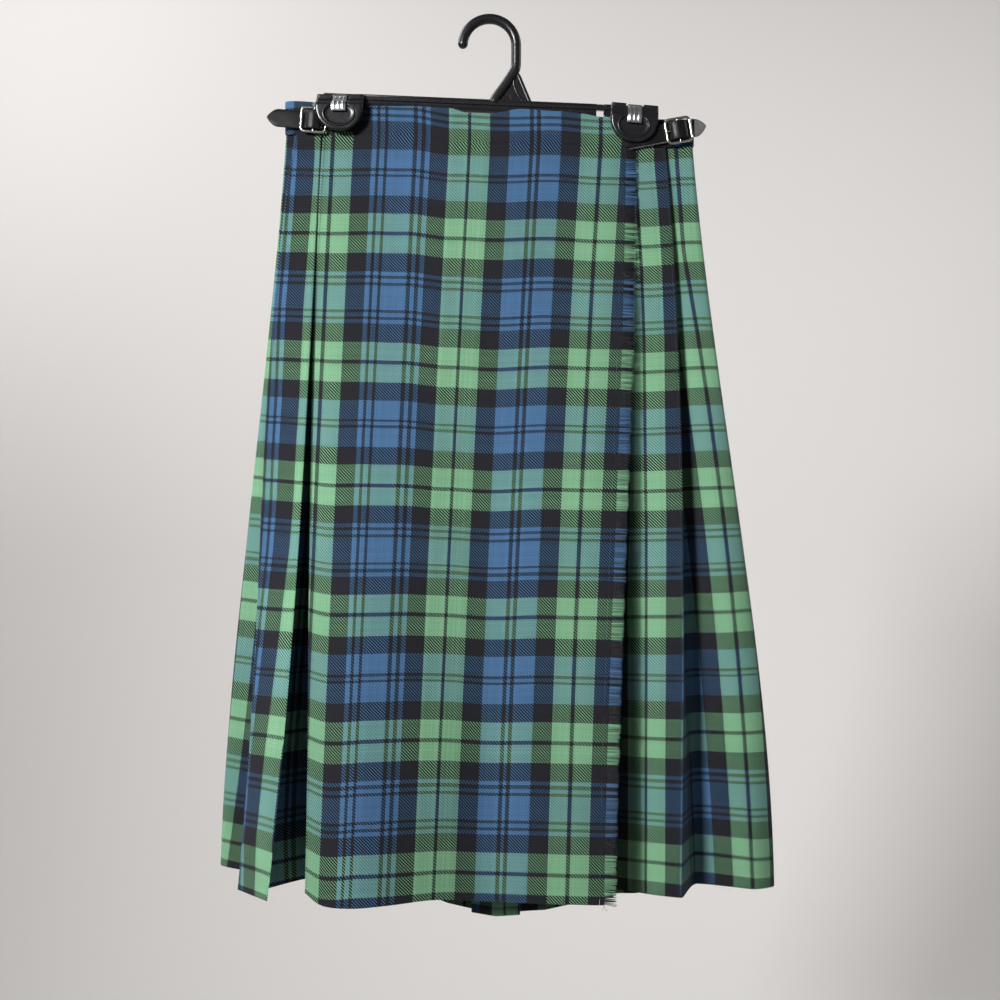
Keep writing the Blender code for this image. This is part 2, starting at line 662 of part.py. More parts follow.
def buckle_frame(buckle, target, cutters):
    """Rounded square frame of wire with a bar across its middle."""
    depth = frame_depth(buckle)
    corner = 3.4
    half_x = FRAME_WIDTH / 2 - FRAME_WIRE
    half_z = FRAME_HEIGHT / 2 - FRAME_WIRE
    ring = []
    for quarter in range(4):
        sign_x = 1 if quarter in (0, 3) else -1
        sign_z = 1 if quarter in (0, 1) else -1
        for step in range(5):
            angle = math.radians(90.0 * quarter + 22.5 * step)
            ring.append((sign_x * (half_x - corner) + corner * math.cos(angle), depth,
                         sign_z * (half_z - corner) + corner * math.sin(angle)))
    name = "buckle_" + buckle.name
    frame = tube(name, ring, FRAME_WIRE, target, NICKEL, closed=True)
    bar_ends = [(0, depth, -half_z), (0, depth, half_z)]
    bar = tube(name + "_bar", bar_ends, BAR_WIRE, cutters, NICKEL)
    cut(frame, bar, "UNION")
    placed(frame, buckle)


def prong(buckle, target):
    """Tongue that leaves the strap's hole and rests on the side bar."""
    depth = frame_depth(buckle)
    side = FRAME_WIDTH / 2 - FRAME_WIRE
    over = depth - FRAME_WIRE - GAP - PRONG_WIRE
    route = ((-4.0, depth + 0.2), (-5.6, depth - 0.6), (-8.0, over + 0.2), (-side, over),
             (-side - 1.6, over + 0.5))
    knots = []
    for number, (x, y) in enumerate(route):
        knots.append(Knot("prong_%d" % number, Vector((x * buckle.way, y, 0)), True, 2))
    line, _ = smooth_path(knots)
    placed(tube("prong_" + buckle.name, line, PRONG_WIRE, target, NICKEL), buckle)


# -------------------------------------------------------------------- hanger
PLASTIC = ((0.014, 0.014, 0.016), 0.3)
STEEL = ((0.60, 0.61, 0.62), 0.35, 1.0)
HOOK_WIRE = 4.5
HOOK_INNER = 19.5           # radius of the gap that the rail fills
BAR_TILT = -2.42
BAR_TOP = -68.6             # height of the bar's top edge below the origin, at its middle
BAR_LEFT = -113.0
BAR_RIGHT = 110.0
NOTCH = (96.5, 103.0)       # the bar's web is cut away here, beside the right clip
BAR_HEIGHT = 12.0
BAR_DEPTH = 6.0
END_SIZE = 5.0
NECK_DEPTH = 4.0


def prism(name, outline, x_start, x_end, target, finish):
    """Outline of (y, z) points drawn out along X."""
    bm = bmesh.new()
    near = [bm.verts.new((x_start, y, z)) for y, z in outline]
    far = [bm.verts.new((x_end, y, z)) for y, z in outline]
    count = len(outline)
    for k in range(count):
        m = (k + 1) % count
        bm.faces.new((near[k], near[m], far[m], far[k]))
    bm.faces.new(near)
    bm.faces.new(far)
    return object_from(name, bm, target, finish)


def plate(name, outline, y_start, y_end, target, finish):
    """Outline of (x, z) points drawn out along Y."""
    made = prism(name, [(-x, z) for x, z in outline], y_start, y_end, target, finish)
    made.data.transform(Matrix.Rotation(math.radians(90), 4, "Z"))
    return made


def hanger(target, cutters):
    """Bar of I section with square ends, hook and webbed neck, moulded in one piece."""
    half = BAR_DEPTH / 2
    web = 1.2
    lip = 1.8
    low = -BAR_HEIGHT
    section = ((-half, 0), (half, 0), (half, -lip), (web, -lip - 0.6), (web, low + lip + 0.6),
               (half, low + lip), (half, low), (-half, low), (-half, low + lip),
               (-web, low + lip + 0.6), (-web, -lip - 0.6), (-half, -lip))
    bar = prism("hanger", section, BAR_LEFT, BAR_RIGHT, target, PLASTIC)
    end = END_SIZE / 2
    square = ((-end, -0.2), (end, -0.2), (end, -0.2 - END_SIZE), (-end, -0.2 - END_SIZE))
    opening = ((-5.0, -6.0), (5.0, -6.0), (5.0, -15.0), (-5.0, -15.0))
    notch = prism("hanger_notch", opening, *NOTCH, cutters, PLASTIC)
    cut(bar, notch, "DIFFERENCE")
    ends = prism("hanger_ends", square, -149.0, 145.0, cutters, PLASTIC)
    turn = Matrix.Rotation(math.radians(-BAR_TILT), 4, "Y")
    move = Matrix.Translation((0, 0, BAR_TOP * MM))
    for piece in (bar, ends):
        piece.data.transform(move @ turn)
    cut(bar, ends, "UNION")
    radius = HOOK_INNER + HOOK_WIRE
    hook = []
    for step in range(17):
        angle = math.radians(mix(176.0, 0.0, step / 16))
        hook.append((radius * math.cos(angle), 0, -HOOK_INNER + radius * math.sin(angle)))
    hook += [(radius, 0, -30.0), (radius - 0.3, 0, -38.0), (radius - 2.0, 0, -43.0),
             (15.0, 0, -54.0), (5.5, 0, -67.0), (4.0, 0, -71.0)]
    hook_bar = tube("hook_bar", hook, HOOK_WIRE, cutters, PLASTIC, resolution=2)
    cut(bar, hook_bar, "UNION")
    tip = bmesh.new()
    bmesh.ops.create_uvsphere(tip, u_segments=12, v_segments=8, radius=HOOK_WIRE * 0.995)
    bmesh.ops.translate(tip, vec=hook[0], verts=tip.verts)
    cut(bar, object_from("hook_tip", tip, cutters, PLASTIC), "UNION")
    neck = ((21.0, -42.0), (26.5, -45.5), (36.5, -69.6), (35.0, -72.0), (-3.0, -70.5), (6.0, -62.0))
    web_plate = plate("neck", neck, -NECK_DEPTH / 2, NECK_DEPTH / 2, cutters, PLASTIC)
    cut(bar, web_plate, "UNION")
    ribs = (((25.2, -47.0), (35.6, -70.4)), ((20.8, -50.0), (28.5, -70.8)))
    for number, ((x0, z0), (x1, z1)) in enumerate(ribs):
        rib = tube("rib_%d" % number, [(x0, 0, z0), (x1, 0, z1)], 2.6, cutters, PLASTIC, resolution=1)
        cut(bar, rib, "UNION")
    return bar


# Each clip: middle of its top edge, tilt in degrees, and the depth of the back of the front
# jaw where it presses on the band, which is more over the left buckle.
Clip = namedtuple("Clip", "name x z tilt grip")
CLIPS = (Clip("left", -133.5, -64.8, 0.0, -16.7), Clip("right", 130.5, -73.6, -5.0, -10.3))
CLIP_WIDTH = 43.0
CLIP_HEIGHT = 35.6
JAW = 3.4
BACK_GRIP = 9.8
SPRING_WIDTH = 12.6
SPRING = 0.8
SPRING_DROPS = (19.5, 16.0, 12.5, 9.0, 6.0, 3.0)
SADDLE = 3.4                # how far the jaws' top edges dip where the spring crosses them
# Outline of a jaw: share of the half width at drops below its top edge.
Reach = namedtuple("Reach", "drop left right")
JAW_REACH = [Reach(*row) for row in (
    (0.0, 0.97, 0.97), (4.5, 1.00, 1.00), (7.5, 1.00, 1.00), (11.0, 0.99, 1.00),
    (14.5, 0.97, 0.99), (22.0, 0.88, 0.94), (28.5, 0.75, 0.82), (32.8, 0.56, 0.62),
    (CLIP_HEIGHT, 0.26, 0.30))]


def jaw_depth(drop, top, grip):
    """Depth of the back of a jaw: close to the bar at its top, on the cloth lower down."""
    share = min(max((drop - 4.0) / 9.0, 0.0), 1.0)
    return mix(top, grip, share * share * (3.0 - 2.0 * share))


def jaw(name, clip, top, grip, outwards, target):
    """Moulded jaw, wide at its top and round at its foot."""
    bm = bmesh.new()
    half = CLIP_WIDTH / 2
    grids = []
    for thick in (0.0, JAW * outwards):
        grid = []
        for row in JAW_REACH:
            depth = jaw_depth(row.drop, top, grip) + thick
            places = [-row.left, -0.39, -0.34, 0.34, 0.39, row.right]
            if row.left < 0.6:
                places[1:5] = [share * row.left for share in (-0.7, -0.6, 0.6, 0.7)]
            dips = [0.0, 0.0, SADDLE, SADDLE, 0.0, 0.0] if row.drop == 0.0 else [0.0] * 6
            corners = zip(places, dips)
            grid.append([bm.verts.new((s * half, depth, -row.drop - d)) for s, d in corners])
        grids.append(grid)
    inner, outer = grids
    rows = len(inner)
    columns = len(inner[0])
    for j in range(rows - 1):
        for i in range(columns - 1):
            for grid in grids:
                bm.faces.new((grid[j][i], grid[j][i + 1], grid[j + 1][i + 1], grid[j + 1][i]))
        for i in (0, columns - 1):
            bm.faces.new((inner[j][i], inner[j + 1][i], outer[j + 1][i], outer[j][i]))
    for i in range(columns - 1):
        for j in (0, rows - 1):
            bm.faces.new((inner[j][i], inner[j][i + 1], outer[j][i + 1], outer[j][i]))
    made = object_from(name, bm, target, PLASTIC)
    return made


def clip_frame(made, clip):
    move = Matrix.Translation(Vector((clip.x, 0.0, clip.z)) * MM)
    turn = Matrix.Rotation(math.radians(-clip.tilt), 4, "Y")
    made.data.transform(move @ turn)
    return made


def clip_rim(clip, top, target):
    """Raised D-shaped rim on the face of the front jaw, open where the spring lies."""
    rim = []
    turns = 20
    for step in range(turns + 1):
        angle = math.radians(mix(54.0, -234.0, step / turns))
        x = 14.0 * math.cos(angle)
        z = -21.0 + (10.8 if math.sin(angle) < 0 else 9.0) * math.sin(angle)
        rim.append((x, jaw_depth(-z, top, clip.grip) - JAW, z))
    return tube("rim_" + clip.name, rim, 1.1, target, PLASTIC, resolution=1)


def spring(clip, top_front, top_back, target):
    """Bent steel band that presses the jaws together over the bar."""
    line = []
    lift = JAW + GAP + SPRING / 2 + 0.8
    for drop in SPRING_DROPS:
        line.append(Vector((jaw_depth(drop, top_front, clip.grip) - lift, -drop, 0)))
    front = line[-1].x
    back = jaw_depth(0.0, top_back, BACK_GRIP) + lift
    for step in range(1, 6):
        angle = math.pi * step / 6
        x = mix(front, back, (1 - math.cos(angle)) / 2)
        line.append(Vector((x, 2.6 * math.sin(angle), 0)))
    for drop in reversed(SPRING_DROPS):
        line.append(Vector((jaw_depth(drop, top_back, BACK_GRIP) + lift, -drop, 0)))
    outline = []
    steps = side_steps(line)
    outline += [p + s * SPRING / 2 for p, s in zip(line, steps)]
    outline += [p - s * SPRING / 2 for p, s in zip(reversed(line), reversed(steps))]
    bm = bmesh.new()
    count = len(line)
    near = [bm.verts.new((-SPRING_WIDTH / 2, p.x, p.y)) for p in outline]
    far = [bm.verts.new((SPRING_WIDTH / 2, p.x, p.y)) for p in outline]
    total = len(outline)
    for k in range(total):
        m = (k + 1) % total
        bm.faces.new((near[k], near[m], far[m], far[k]))
    for k in range(count - 1):
        a = total - 1 - k
        for side in (near, far):
            bm.faces.new((side[k], side[k + 1], side[a - 1], side[a]))
    return clip_frame(object_from("clip_%s_spring" % clip.name, bm, target, STEEL), clip)


def clips(target, cutters):
    top_front = -4.2
    top_back = 4.2
    for clip in CLIPS:
        front_name = "clip_%s_front" % clip.name
        front = jaw(front_name, clip, top_front, clip.grip, -1, target)
        rim = clip_rim(clip, top_front, cutters)
        cut(front, rim, "UNION")
        clip_frame(front, clip)
        back = jaw("clip_%s_back" % clip.name, clip, top_back, BACK_GRIP, 1, target)
        clip_frame(back, clip)
        spring(clip, top_front, top_back, target)


def main():
    for old in list(bpy.data.objects):
        bpy.data.objects.remove(old)
    parts = collection("kilted_skirt_on_hanger")
    cutters = collection("cutters")
    skirt_panels(parts)
    apron_fringe(parts)
    waistband(parts)
    for buckle in BUCKLES:
        strap(buckle, parts, cutters)
        buckle_tab(buckle, parts)
        buckle_frame(buckle, parts, cutters)
        prong(buckle, parts)
    hanger(parts, cutters)
    clips(parts, cutters)


main()
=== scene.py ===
"""Kilted tartan skirt on a clip hanger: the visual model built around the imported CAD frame.

The skirt is one long folded strip of wool twill. Every column of the mesh keeps its place
along that strip, so that the stripes of the cloth run true through each pleat. Sizes in the
tables are millimetres in the CAD frame: +X to the viewer's right, -Y to the viewer, +Z up.
"""
import math
from collections import namedtuple

import bmesh
import bpy
import numpy as np
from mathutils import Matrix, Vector


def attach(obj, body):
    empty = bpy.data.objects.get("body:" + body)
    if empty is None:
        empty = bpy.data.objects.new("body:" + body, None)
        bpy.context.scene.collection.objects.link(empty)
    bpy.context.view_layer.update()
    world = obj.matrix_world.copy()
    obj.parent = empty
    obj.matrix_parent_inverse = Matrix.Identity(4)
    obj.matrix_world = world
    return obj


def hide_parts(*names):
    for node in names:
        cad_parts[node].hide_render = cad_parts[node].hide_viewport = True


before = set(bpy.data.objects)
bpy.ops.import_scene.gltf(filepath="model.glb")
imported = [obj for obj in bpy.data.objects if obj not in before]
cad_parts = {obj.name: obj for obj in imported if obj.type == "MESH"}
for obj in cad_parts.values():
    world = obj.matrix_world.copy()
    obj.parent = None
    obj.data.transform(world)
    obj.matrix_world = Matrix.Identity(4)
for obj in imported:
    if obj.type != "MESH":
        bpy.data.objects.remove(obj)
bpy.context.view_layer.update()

MM = 0.001
GAP = 0.3

# ---------------------------------------------------------------- cloth tables
LAYER = 1.8
OPENING_POWER = 1.2
KEYS = (0.0, 0.26, 0.55, 1.0)
LENGTH = 678.0              # from the waist seam to the hem along the cloth
LEFT_SIDE = (182.3, 200.0, 224.4, 254.0)
RIGHT_SIDE = (182.3, 203.7, 233.5, 264.5)
SEAM_FRONT = (
    (-182.3, -101.1), (-148.0, -101.3), (-102.0, -101.0), (-73.0, -102.2), (-30.0, -108.6),
    (14.0, -110.8), (54.0, -110.0), (100.0, -112.8), (130.0, -113.2), (182.3, -112.0))
BAND_TOP_FRONT = (
    (-182.3, -70.2), (-112.0, -76.0), (-71.0, -76.4), (-36.0, -78.3), (-18.0, -82.8),
    (0.0, -83.3), (28.0, -79.2), (63.0, -80.9), (81.0, -82.9), (101.0, -85.7), (182.3, -85.2))
BAND_HEIGHT = 27.0
FRINGE_ROOT = (122.1, 118.4, 111.0, 101.6)
APRON_FOLD = (-148.8, -157.3, -160.3, -163.1)
FRINGE_STRIP = 4.0
FRINGE_LENGTH = 11.5
# share of the way across, depth at the waist and the hem, height of the hem
APRON = (
    (0.00, -6.2, -20.0, -787.1), (0.25, -8.6, -20.0, -785.0), (0.40, -9.0, -13.0, -785.4),
    (0.56, -9.0, -27.0, -780.3), (0.72, -8.4, -43.0, -780.7), (0.83, -7.4, -50.0, -781.2),
    (0.93, -6.4, -41.0, -781.3), (1.00, -5.8, -20.0, -776.2))
# x at the waist, hip, thigh and hem; depth at the waist and the hem; height of the hem
Fold = namedtuple("Fold", "name waist hip thigh hem y_waist y_hem z_hem soft")
LEFT_FOLDS = [Fold(*row) for row in (
    ("apron_nose", -148.8, -157.0, -159.6, -161.5, -4.0, -17.0, -777.0, False),
    ("recess_start", -131.0, -142.0, -150.0, -156.0, -4.0, -2.0, -778.0, False),
    ("recess_turn", -131.0, -141.0, -148.5, -153.0, -2.2, 24.0, -775.5, False),
    ("left_join", -138.0, -147.5, -155.0, -161.0, -2.2, 22.6, -775.4, False),
    ("recess_middle", -146.0, -155.0, -162.0, -170.0, -2.2, 20.0, -775.2, True),
    ("recess_end", -160.0, -171.0, -184.0, -199.0, -2.2, -5.0, -776.4, False),
    ("first_return", -160.0, -173.0, -188.0, -213.0, -4.0, -19.0, -776.0, False),
    ("first_nose", -151.0, -158.8, -168.9, -194.2, -4.0, -44.0, -775.0, False),
    ("first_right", -151.0, -158.8, -168.2, -192.0, -5.8, -48.0, -774.9, False),
    ("first_left", -174.0, -194.3, -205.3, -224.0, -5.0, -12.0, -775.0, False),
    ("first_back", -174.0, -194.1, -204.7, -222.6, -3.2, -9.6, -775.4, False),
    ("second_return", -164.0, -177.0, -186.0, -203.0, -3.2, 16.0, -776.0, False),
    ("second_nose", -164.0, -177.0, -186.0, -203.0, -1.4, 29.0, -776.0, False),
    ("second_start", -173.0, -188.0, -206.0, -228.0, -1.4, 50.0, -775.8, True),
)]
RIGHT_FOLDS = [Fold(*row) for row in (
    ("last_edge", 180.6, 202.5, 232.0, 263.5, -2.4, 40.0, -787.7, True),
    ("last_bulge", 174.0, 193.4, 218.8, 245.1, -2.2, 32.0, -787.8, True),
    ("last_flat", 168.0, 183.3, 203.1, 227.8, -1.6, 39.0, -788.0, True),
    ("last_valley", 161.8, 173.9, 185.6, 194.1, -0.6, 50.0, -788.0, True),
    ("last_under", 150.0, 160.0, 174.0, 188.0, -0.4, 44.0, -788.4, False),
    ("ridge_under", 150.0, 159.6, 172.2, 183.4, -2.2, 33.0, -788.6, False),
    ("ridge_nose", 157.6, 169.3, 174.6, 176.0, -2.2, 12.0, -789.0, False),
    ("ridge", 157.9, 169.6, 174.4, 173.4, -4.0, 8.0, -789.0, False),
    ("ridge_flat", 147.0, 152.0, 152.0, 149.0, -4.2, 17.0, -788.9, True),
    ("valley_side", 139.0, 139.0, 138.0, 132.0, -4.2, 27.0, -788.9, True),
    ("under_fold", 132.2, 129.6, 126.7, 113.5, -4.0, 39.0, -789.0, False),
    ("under_nose", 132.2, 129.8, 127.0, 114.5, -2.2, 41.6, -789.0, False),
    ("under_return", 142.0, 140.0, 138.0, 128.0, -2.2, 46.0, -788.5, False),
    ("under_turn", 142.0, 140.0, 138.0, 128.5, -0.4, 49.5, -788.0, False),
    ("right_join", 132.0, 130.0, 127.0, 117.0, -0.4, 44.5, -787.8, False),
    ("under_right", 108.0, 105.0, 100.0, 92.0, -4.0, 34.0, -787.0, True),
    ("under_middle", 40.0, 36.0, 30.0, 24.0, -6.4, 14.0, -785.5, True),
    ("under_centre", -40.0, -44.0, -50.0, -56.0, -6.2, 2.0, -781.5, True),
    ("under_left", -100.0, -108.0, -110.0, -112.0, -4.6, -20.0, -778.5, True),
    ("under_edge", -122.0, -128.0, -131.0, -134.0, -3.6, -26.0, -778.0, True),
)]
# share of the half width, depth at the waist and the hem, height at the waist and the hem
BACK_BASE = (
    (-1.000, 0.0, 62.0, -101.1, -774.0), (-0.985, 3.4, 80.0, -102.0, -775.0),
    (-0.900, 6.2, 95.0, -106.0, -778.0), (-0.620, 8.2, 92.0, -118.0, -792.0),
    (-0.300, 9.8, 66.0, -133.0, -793.0), (0.000, 10.2, 50.0, -138.0, -815.0),
    (0.300, 9.8, 56.0, -136.0, -805.0), (0.620, 8.2, 78.0, -122.0, -798.0),
    (0.900, 6.2, 86.0, -113.0, -789.0), (0.985, 3.4, 68.0, -112.1, -788.0),
    (1.000, 0.0, 48.0, -112.0, -787.6))
PLEAT_SHARES = (0.496, 0.4195, 0.343, 0.2665, 0.190, 0.1225, 0.058)
LAST_PLEAT = len(PLEAT_SHARES) - 1
PLEAT_HIDDEN = (16.0, 19.0)
PLEAT_LAYER = (LAYER, 5.0)
SIDE_HIDDEN = (8.0, 16.0)
PLEAT_REST = 3.0
PLEAT_CLEAR = 2.0
JOIN_PLEAT = 4

# ------------------------------------------------------- what the visual cloth adds
ROWS = 98                   # rows of the mesh from the waist to the hem
STEP = 4.4                  # spacing of the mesh columns on open cloth
SHELL = 1.0                 # thickness of the visible cloth
CREASE = 0.8                # radius to which a pressed fold is rounded
CREASE_REACH = 0.45         # share of a short segment that its round ends may take
STITCHED = ("apron_fold", "first_left", "ridge", "under_fold")
# the seams lie on the segment before, or on the one after, these knots
STITCHED_BEFORE = ("apron_fold", "first_left", "under_fold")
STITCHED_AFTER = ("first_right", "ridge")
STITCH_LENGTH = 2.6
STITCH_SPACE = 0.7
STITCH_SINK_DEPTH = 0.26
STITCH_COLUMNS = (1.4, 1.9, 2.2, 2.5, 3.0, 4.0)
STITCH_SINK = (0.2, 0.8, 1.0, 0.8, 0.2, 0.0)
T = np.linspace(0.0, 1.0, ROWS)


def lagrange(values, t=T):
    """Cubic through the values at the four key heights."""
    total = 0.0
    for i, value in enumerate(values):
        weight = 1.0
        for j, key in enumerate(KEYS):
            if j != i:
                weight = weight * (t - key) / (KEYS[i] - key)
        total = total + weight * value
    return total


def swing(waist, hem, t=T):
    return waist + (hem - waist) * t ** OPENING_POWER


def through(a, b, c):
    """Parabola through three values read at three heights of the skirt."""
    return np.polyval(np.polyfit(READ_AT, (a, b, c), 2), T)


def follow(table):
    """Values at every height of the mesh from a table by share of the length."""
    shares, values = np.array(table).T
    return np.interp(T, shares, values)


def height_at(table, x):
    """Height at x on a line given by a table of heights."""
    xs, zs = np.array(table).T
    x = np.clip(x, xs[0], xs[-1])
    k = np.clip(np.searchsorted(xs, x) - 1, 0, len(xs) - 2)
    s = (x - xs[k]) / (xs[k + 1] - xs[k])
    return zs[k] + (zs[k + 1] - zs[k]) * s * s * (3.0 - 2.0 * s)


def run_along(points):
    """Distance of every point of a run from its first one."""
    steps = np.linalg.norm(np.diff(points, axis=-2), axis=-1)
    return np.concatenate([np.zeros((*steps.shape[:-1], 1)), np.cumsum(steps, axis=-1)], axis=-1)


def part_ends(points):
    """Draw both ends of a run in, so that it clears the next piece of the same cloth."""
    for edge, beside in ((0, 1), (-1, -2)):
        way = points[..., beside, :] - points[..., edge, :]
        points[..., edge, :] += way / np.linalg.norm(way, axis=-1, keepdims=True) * GAP / 2


def hang(x, x_waist, y_waist, y_hem, z_hem, t=T):
    """Line down the front of the skirt, from the waist seam to the hem."""
    top = height_at(SEAM_FRONT, x_waist)
    return stacked(x, swing(y_waist, y_hem, t), top + (z_hem - top) * t)


def seam_back(x):
    return height_at([(row[0] * LEFT_SIDE[0], row[3]) for row in BACK_BASE], x)


def stacked(*parts):
    """Points from their coordinates."""
    return np.stack(np.broadcast_arrays(*parts), axis=-1)


# ------------------------------------------------------- the long folded strip
Knot = namedtuple("Knot", "name point soft")


def apron_knots():
    knots = []
    root = lagrange(FRINGE_ROOT) - FRINGE_STRIP - GAP / 2
    fold = lagrange(APRON_FOLD)
    for number, (across, *sizes) in enumerate(APRON):
        last = number == len(APRON) - 1
        x = root + (fold - root) * across
        name = "apron_fold" if last else "apron_%d" % number
        knots.append(Knot(name, hang(x, x[0], *sizes), not last))
    return knots


def side_knots(folds):
    return [Knot(row.name, hang(lagrange((row.waist, row.hip, row.thigh, row.hem)), row.waist,
                                row.y_waist, row.y_hem, row.z_hem), row.soft) for row in folds]


class Path:
    """Smooth run through knots at every height: rounded at the soft ones."""

    def __init__(self, knots):
        self.knots = knots
        self.points = np.stack([k.point for k in knots], axis=1)
        self.lengths = np.linalg.norm(np.diff(self.points, axis=1), axis=2)

    def tangent(self, i, segment):
        """Tangent at knot i, scaled for one of the two segments that meet there."""
        p = self.points
        if i in (0, len(self.knots) - 1) or not self.knots[i].soft:
            return p[:, segment + 1] - p[:, segment]
        span = self.lengths[:, i] + self.lengths[:, i - 1]
        return (p[:, i + 1] - p[:, i - 1]) * (self.lengths[:, segment] / span)[:, None]

    def along(self, segment, shares):
        """Points at shares of a segment: shares is (rows, n) and the result (rows, n, 3)."""
        s = shares[..., None]
        start = self.points[:, segment][:, None]
        end = self.points[:, segment + 1][:, None]
        leave = self.tangent(segment, segment)[:, None]
        arrive = self.tangent(segment + 1, segment)[:, None]
        return (start * (2 * s ** 3 - 3 * s ** 2 + 1) + leave * (s ** 3 - 2 * s ** 2 + s)
                + end * (3 * s ** 2 - 2 * s ** 3) + arrive * (s ** 3 - s ** 2))


def back_curve():
    """Function giving the back at a share of its length, moved along and inwards."""
    knots = []
    for across, y_waist, y_hem, z_waist, z_hem in BACK_BASE:
        side = LEFT_SIDE if across < 0 else RIGHT_SIDE
        place = stacked(across * lagrange(side), swing(y_waist, y_hem),
                        z_waist + (z_hem - z_waist) * T)
        knots.append(Knot("", place, True))
    path = Path(knots)
    steps = np.tile(np.arange(16) / 16.0, (ROWS, 1))
    runs = [path.along(i, steps) for i in range(len(knots) - 1)]
    points = np.concatenate([*runs, knots[-1].point[:, None]], axis=1)
    lengths = run_along(points[..., :2])
    rows = np.arange(ROWS)
    last = lengths.shape[1] - 1

    def at(share, shift, inside):
        want = np.clip(share * lengths[:, -1] + shift, 0.0, lengths[:, -1])
        k = np.clip((lengths < want[:, None]).sum(axis=1), 1, last)
        before, after = points[rows, k - 1], points[rows, k]
        part = (want - lengths[rows, k - 1]) / (lengths[rows, k] - lengths[rows, k - 1])
        run = points[rows, np.minimum(k + 5, last)] - points[rows, np.maximum(k - 6, 0)]
        run /= np.linalg.norm(run[:, :2], axis=1, keepdims=True)
        inwards = stacked(run[:, 1], -run[:, 0], 0.0) * np.broadcast_to(inside, (ROWS,))[:, None]
        return before + (after - before) * part[:, None] + inwards

    return at


def back_knots():
    """Knife pleats that fold towards the centre back, where two of them meet."""
    at = back_curve()
    layer = swing(*PLEAT_LAYER)
    left = []
    right = []
    for number, share in enumerate(PLEAT_SHARES):
        depth = swing(*(SIDE_HIDDEN if number == LAST_PLEAT else PLEAT_HIDDEN))
        # Corner, how far it lies along the back, and how many layers in.
        corners = [("_face", depth + PLEAT_REST, 0.1), ("", 0.0, 0.0), ("_nose", 0.0, 1.0),
                   ("_return", depth, 1.0), ("_inner", depth, 2.0)]
        if number == JOIN_PLEAT:
            corners.append(("_lap", 0.4 * depth, 2.0))
        if number > 0:
            corners.append(("_clear", -PLEAT_CLEAR, 2.0))
        for side, way, place in (("left", -1, share), ("right", 1, 1.0 - share)):
            knots = [Knot("%s_pleat_%d%s" % (side, number, corner),
                          at(place, way * along, layers * layer), corner == "_face")
                     for corner, along, layers in corners]
            if side == "left":
                left = knots + left
            else:
                right += knots[::-1]
    return [Knot("left_side", at(0.0, 0.0, 0.0), True), *left,
            Knot("centre_back", at(0.5, 0.0, 2 * layer), False), *right,
            Knot("right_side", at(1.0, 0.0, 0.0), True)]


SEAMS = ("left_join", "left_pleat_%d_lap" % JOIN_PLEAT, "right_pleat_%d_lap" % JOIN_PLEAT,
         "right_join")


def segment_columns(length, start, end, before, after):
    """Shares of a segment at which its mesh columns stand, between its rounded ends, and how
    deep an edge stitch before the next fold or after the last one draws each of them in."""
    parts = max(1, int(math.ceil(length.max() / STEP)))
    if not (before or after):
        return [start + (end - start) * k / parts for k in range(parts + 1)], [0.0] * (parts + 1)
    fit = np.minimum(1.0, 0.42 * length / STITCH_COLUMNS[-1])
    seam = [column * fit / length for column in STITCH_COLUMNS]
    rest = [seam[-1] + (1.0 - start - seam[-1]) * k / parts for k in range(1, parts + 1)]
    shares = [np.minimum(CREASE, CREASE_REACH * length) / length, *seam, *rest]
    sink = [0.0, *STITCH_SINK, *[0.0] * parts]
    if before:
        return [start, *[1.0 - s for s in shares[-2::-1]]], sink[::-1]
    return [*shares[:-1], end], sink


def behind(points, index):
    """Which columns of the strip are at the back."""
    columns = np.arange(points.shape[1])
    return (columns >= index["left_side"]) & (columns <= index["right_side"])


def strip_columns():
    """Mesh columns of the whole strip: points (rows, columns, 3), the column of each knot,
    and how deep an edge stitch draws the cloth in at each column."""
    knots = apron_knots() + side_knots(LEFT_FOLDS) + back_knots() + side_knots(RIGHT_FOLDS)
    path = Path(knots)
    radii = [0.0 if k.soft or k.name in SEAMS else CREASE for k in knots]
    blocks = []
    sinks = []
    index = {}
    for i, knot in enumerate(knots[:-1]):
        length = path.lengths[:, i]
        start = np.minimum(radii[i], CREASE_REACH * length) / length
        end = 1.0 - np.minimum(radii[i + 1], CREASE_REACH * length) / length
        shares, sink = segment_columns(length, start, end, knots[i + 1].name in STITCHED_BEFORE,
                                       knot.name in STITCHED_AFTER)
        run = path.along(i, np.stack(shares, axis=1))
        index[knot.name] = max(len(sinks) - 1, 0)
        if radii[i]:
            index[knot.name] = len(sinks) + 1
            s = np.array((0.25, 0.5, 0.75))[None, :, None]
            blocks.append(blocks[-1][:, -1:] * (1 - s) ** 2
                          + knot.point[:, None] * 2 * s * (1 - s) + run[:, :1] * s ** 2)
            sinks += [0.0] * 3
        elif i:
            run = run[:, 1:]
            sink = sink[1:]
        blocks.append(run)
        sinks += sink
    index[knots[-1].name] = len(sinks) - 1
    points = np.concatenate(blocks, axis=1)
    top = points[0, :, 0]
    seam = np.where(behind(points, index), seam_back(top), height_at(SEAM_FRONT, top))
    points[..., 2] += (seam - points[0, :, 2])[None] * (1.0 - T)[:, None]
    return points, index, np.array(sinks)


# ------------------------------------------------------------- place in the tartan
SETT = 237.6                # width of one repeat across the cloth
PLEAT_CLOTH = SETT / 3      # cloth that each knife pleat takes up
UNSTRETCHED = 60.0          # how far beyond its outer lines the apron is placed
# Heights of the skirt, as shares of its length, at which columns of the sett are placed.
READ_AT = (0.10, 0.50, 0.92)
LINE_1 = (95.5, 81.0, 70.4)            # x of the apron's green columns
LINE_2 = (-22.3, -35.6, -48.4)
LINE_3 = (-142.8, -154.4, -164.5)
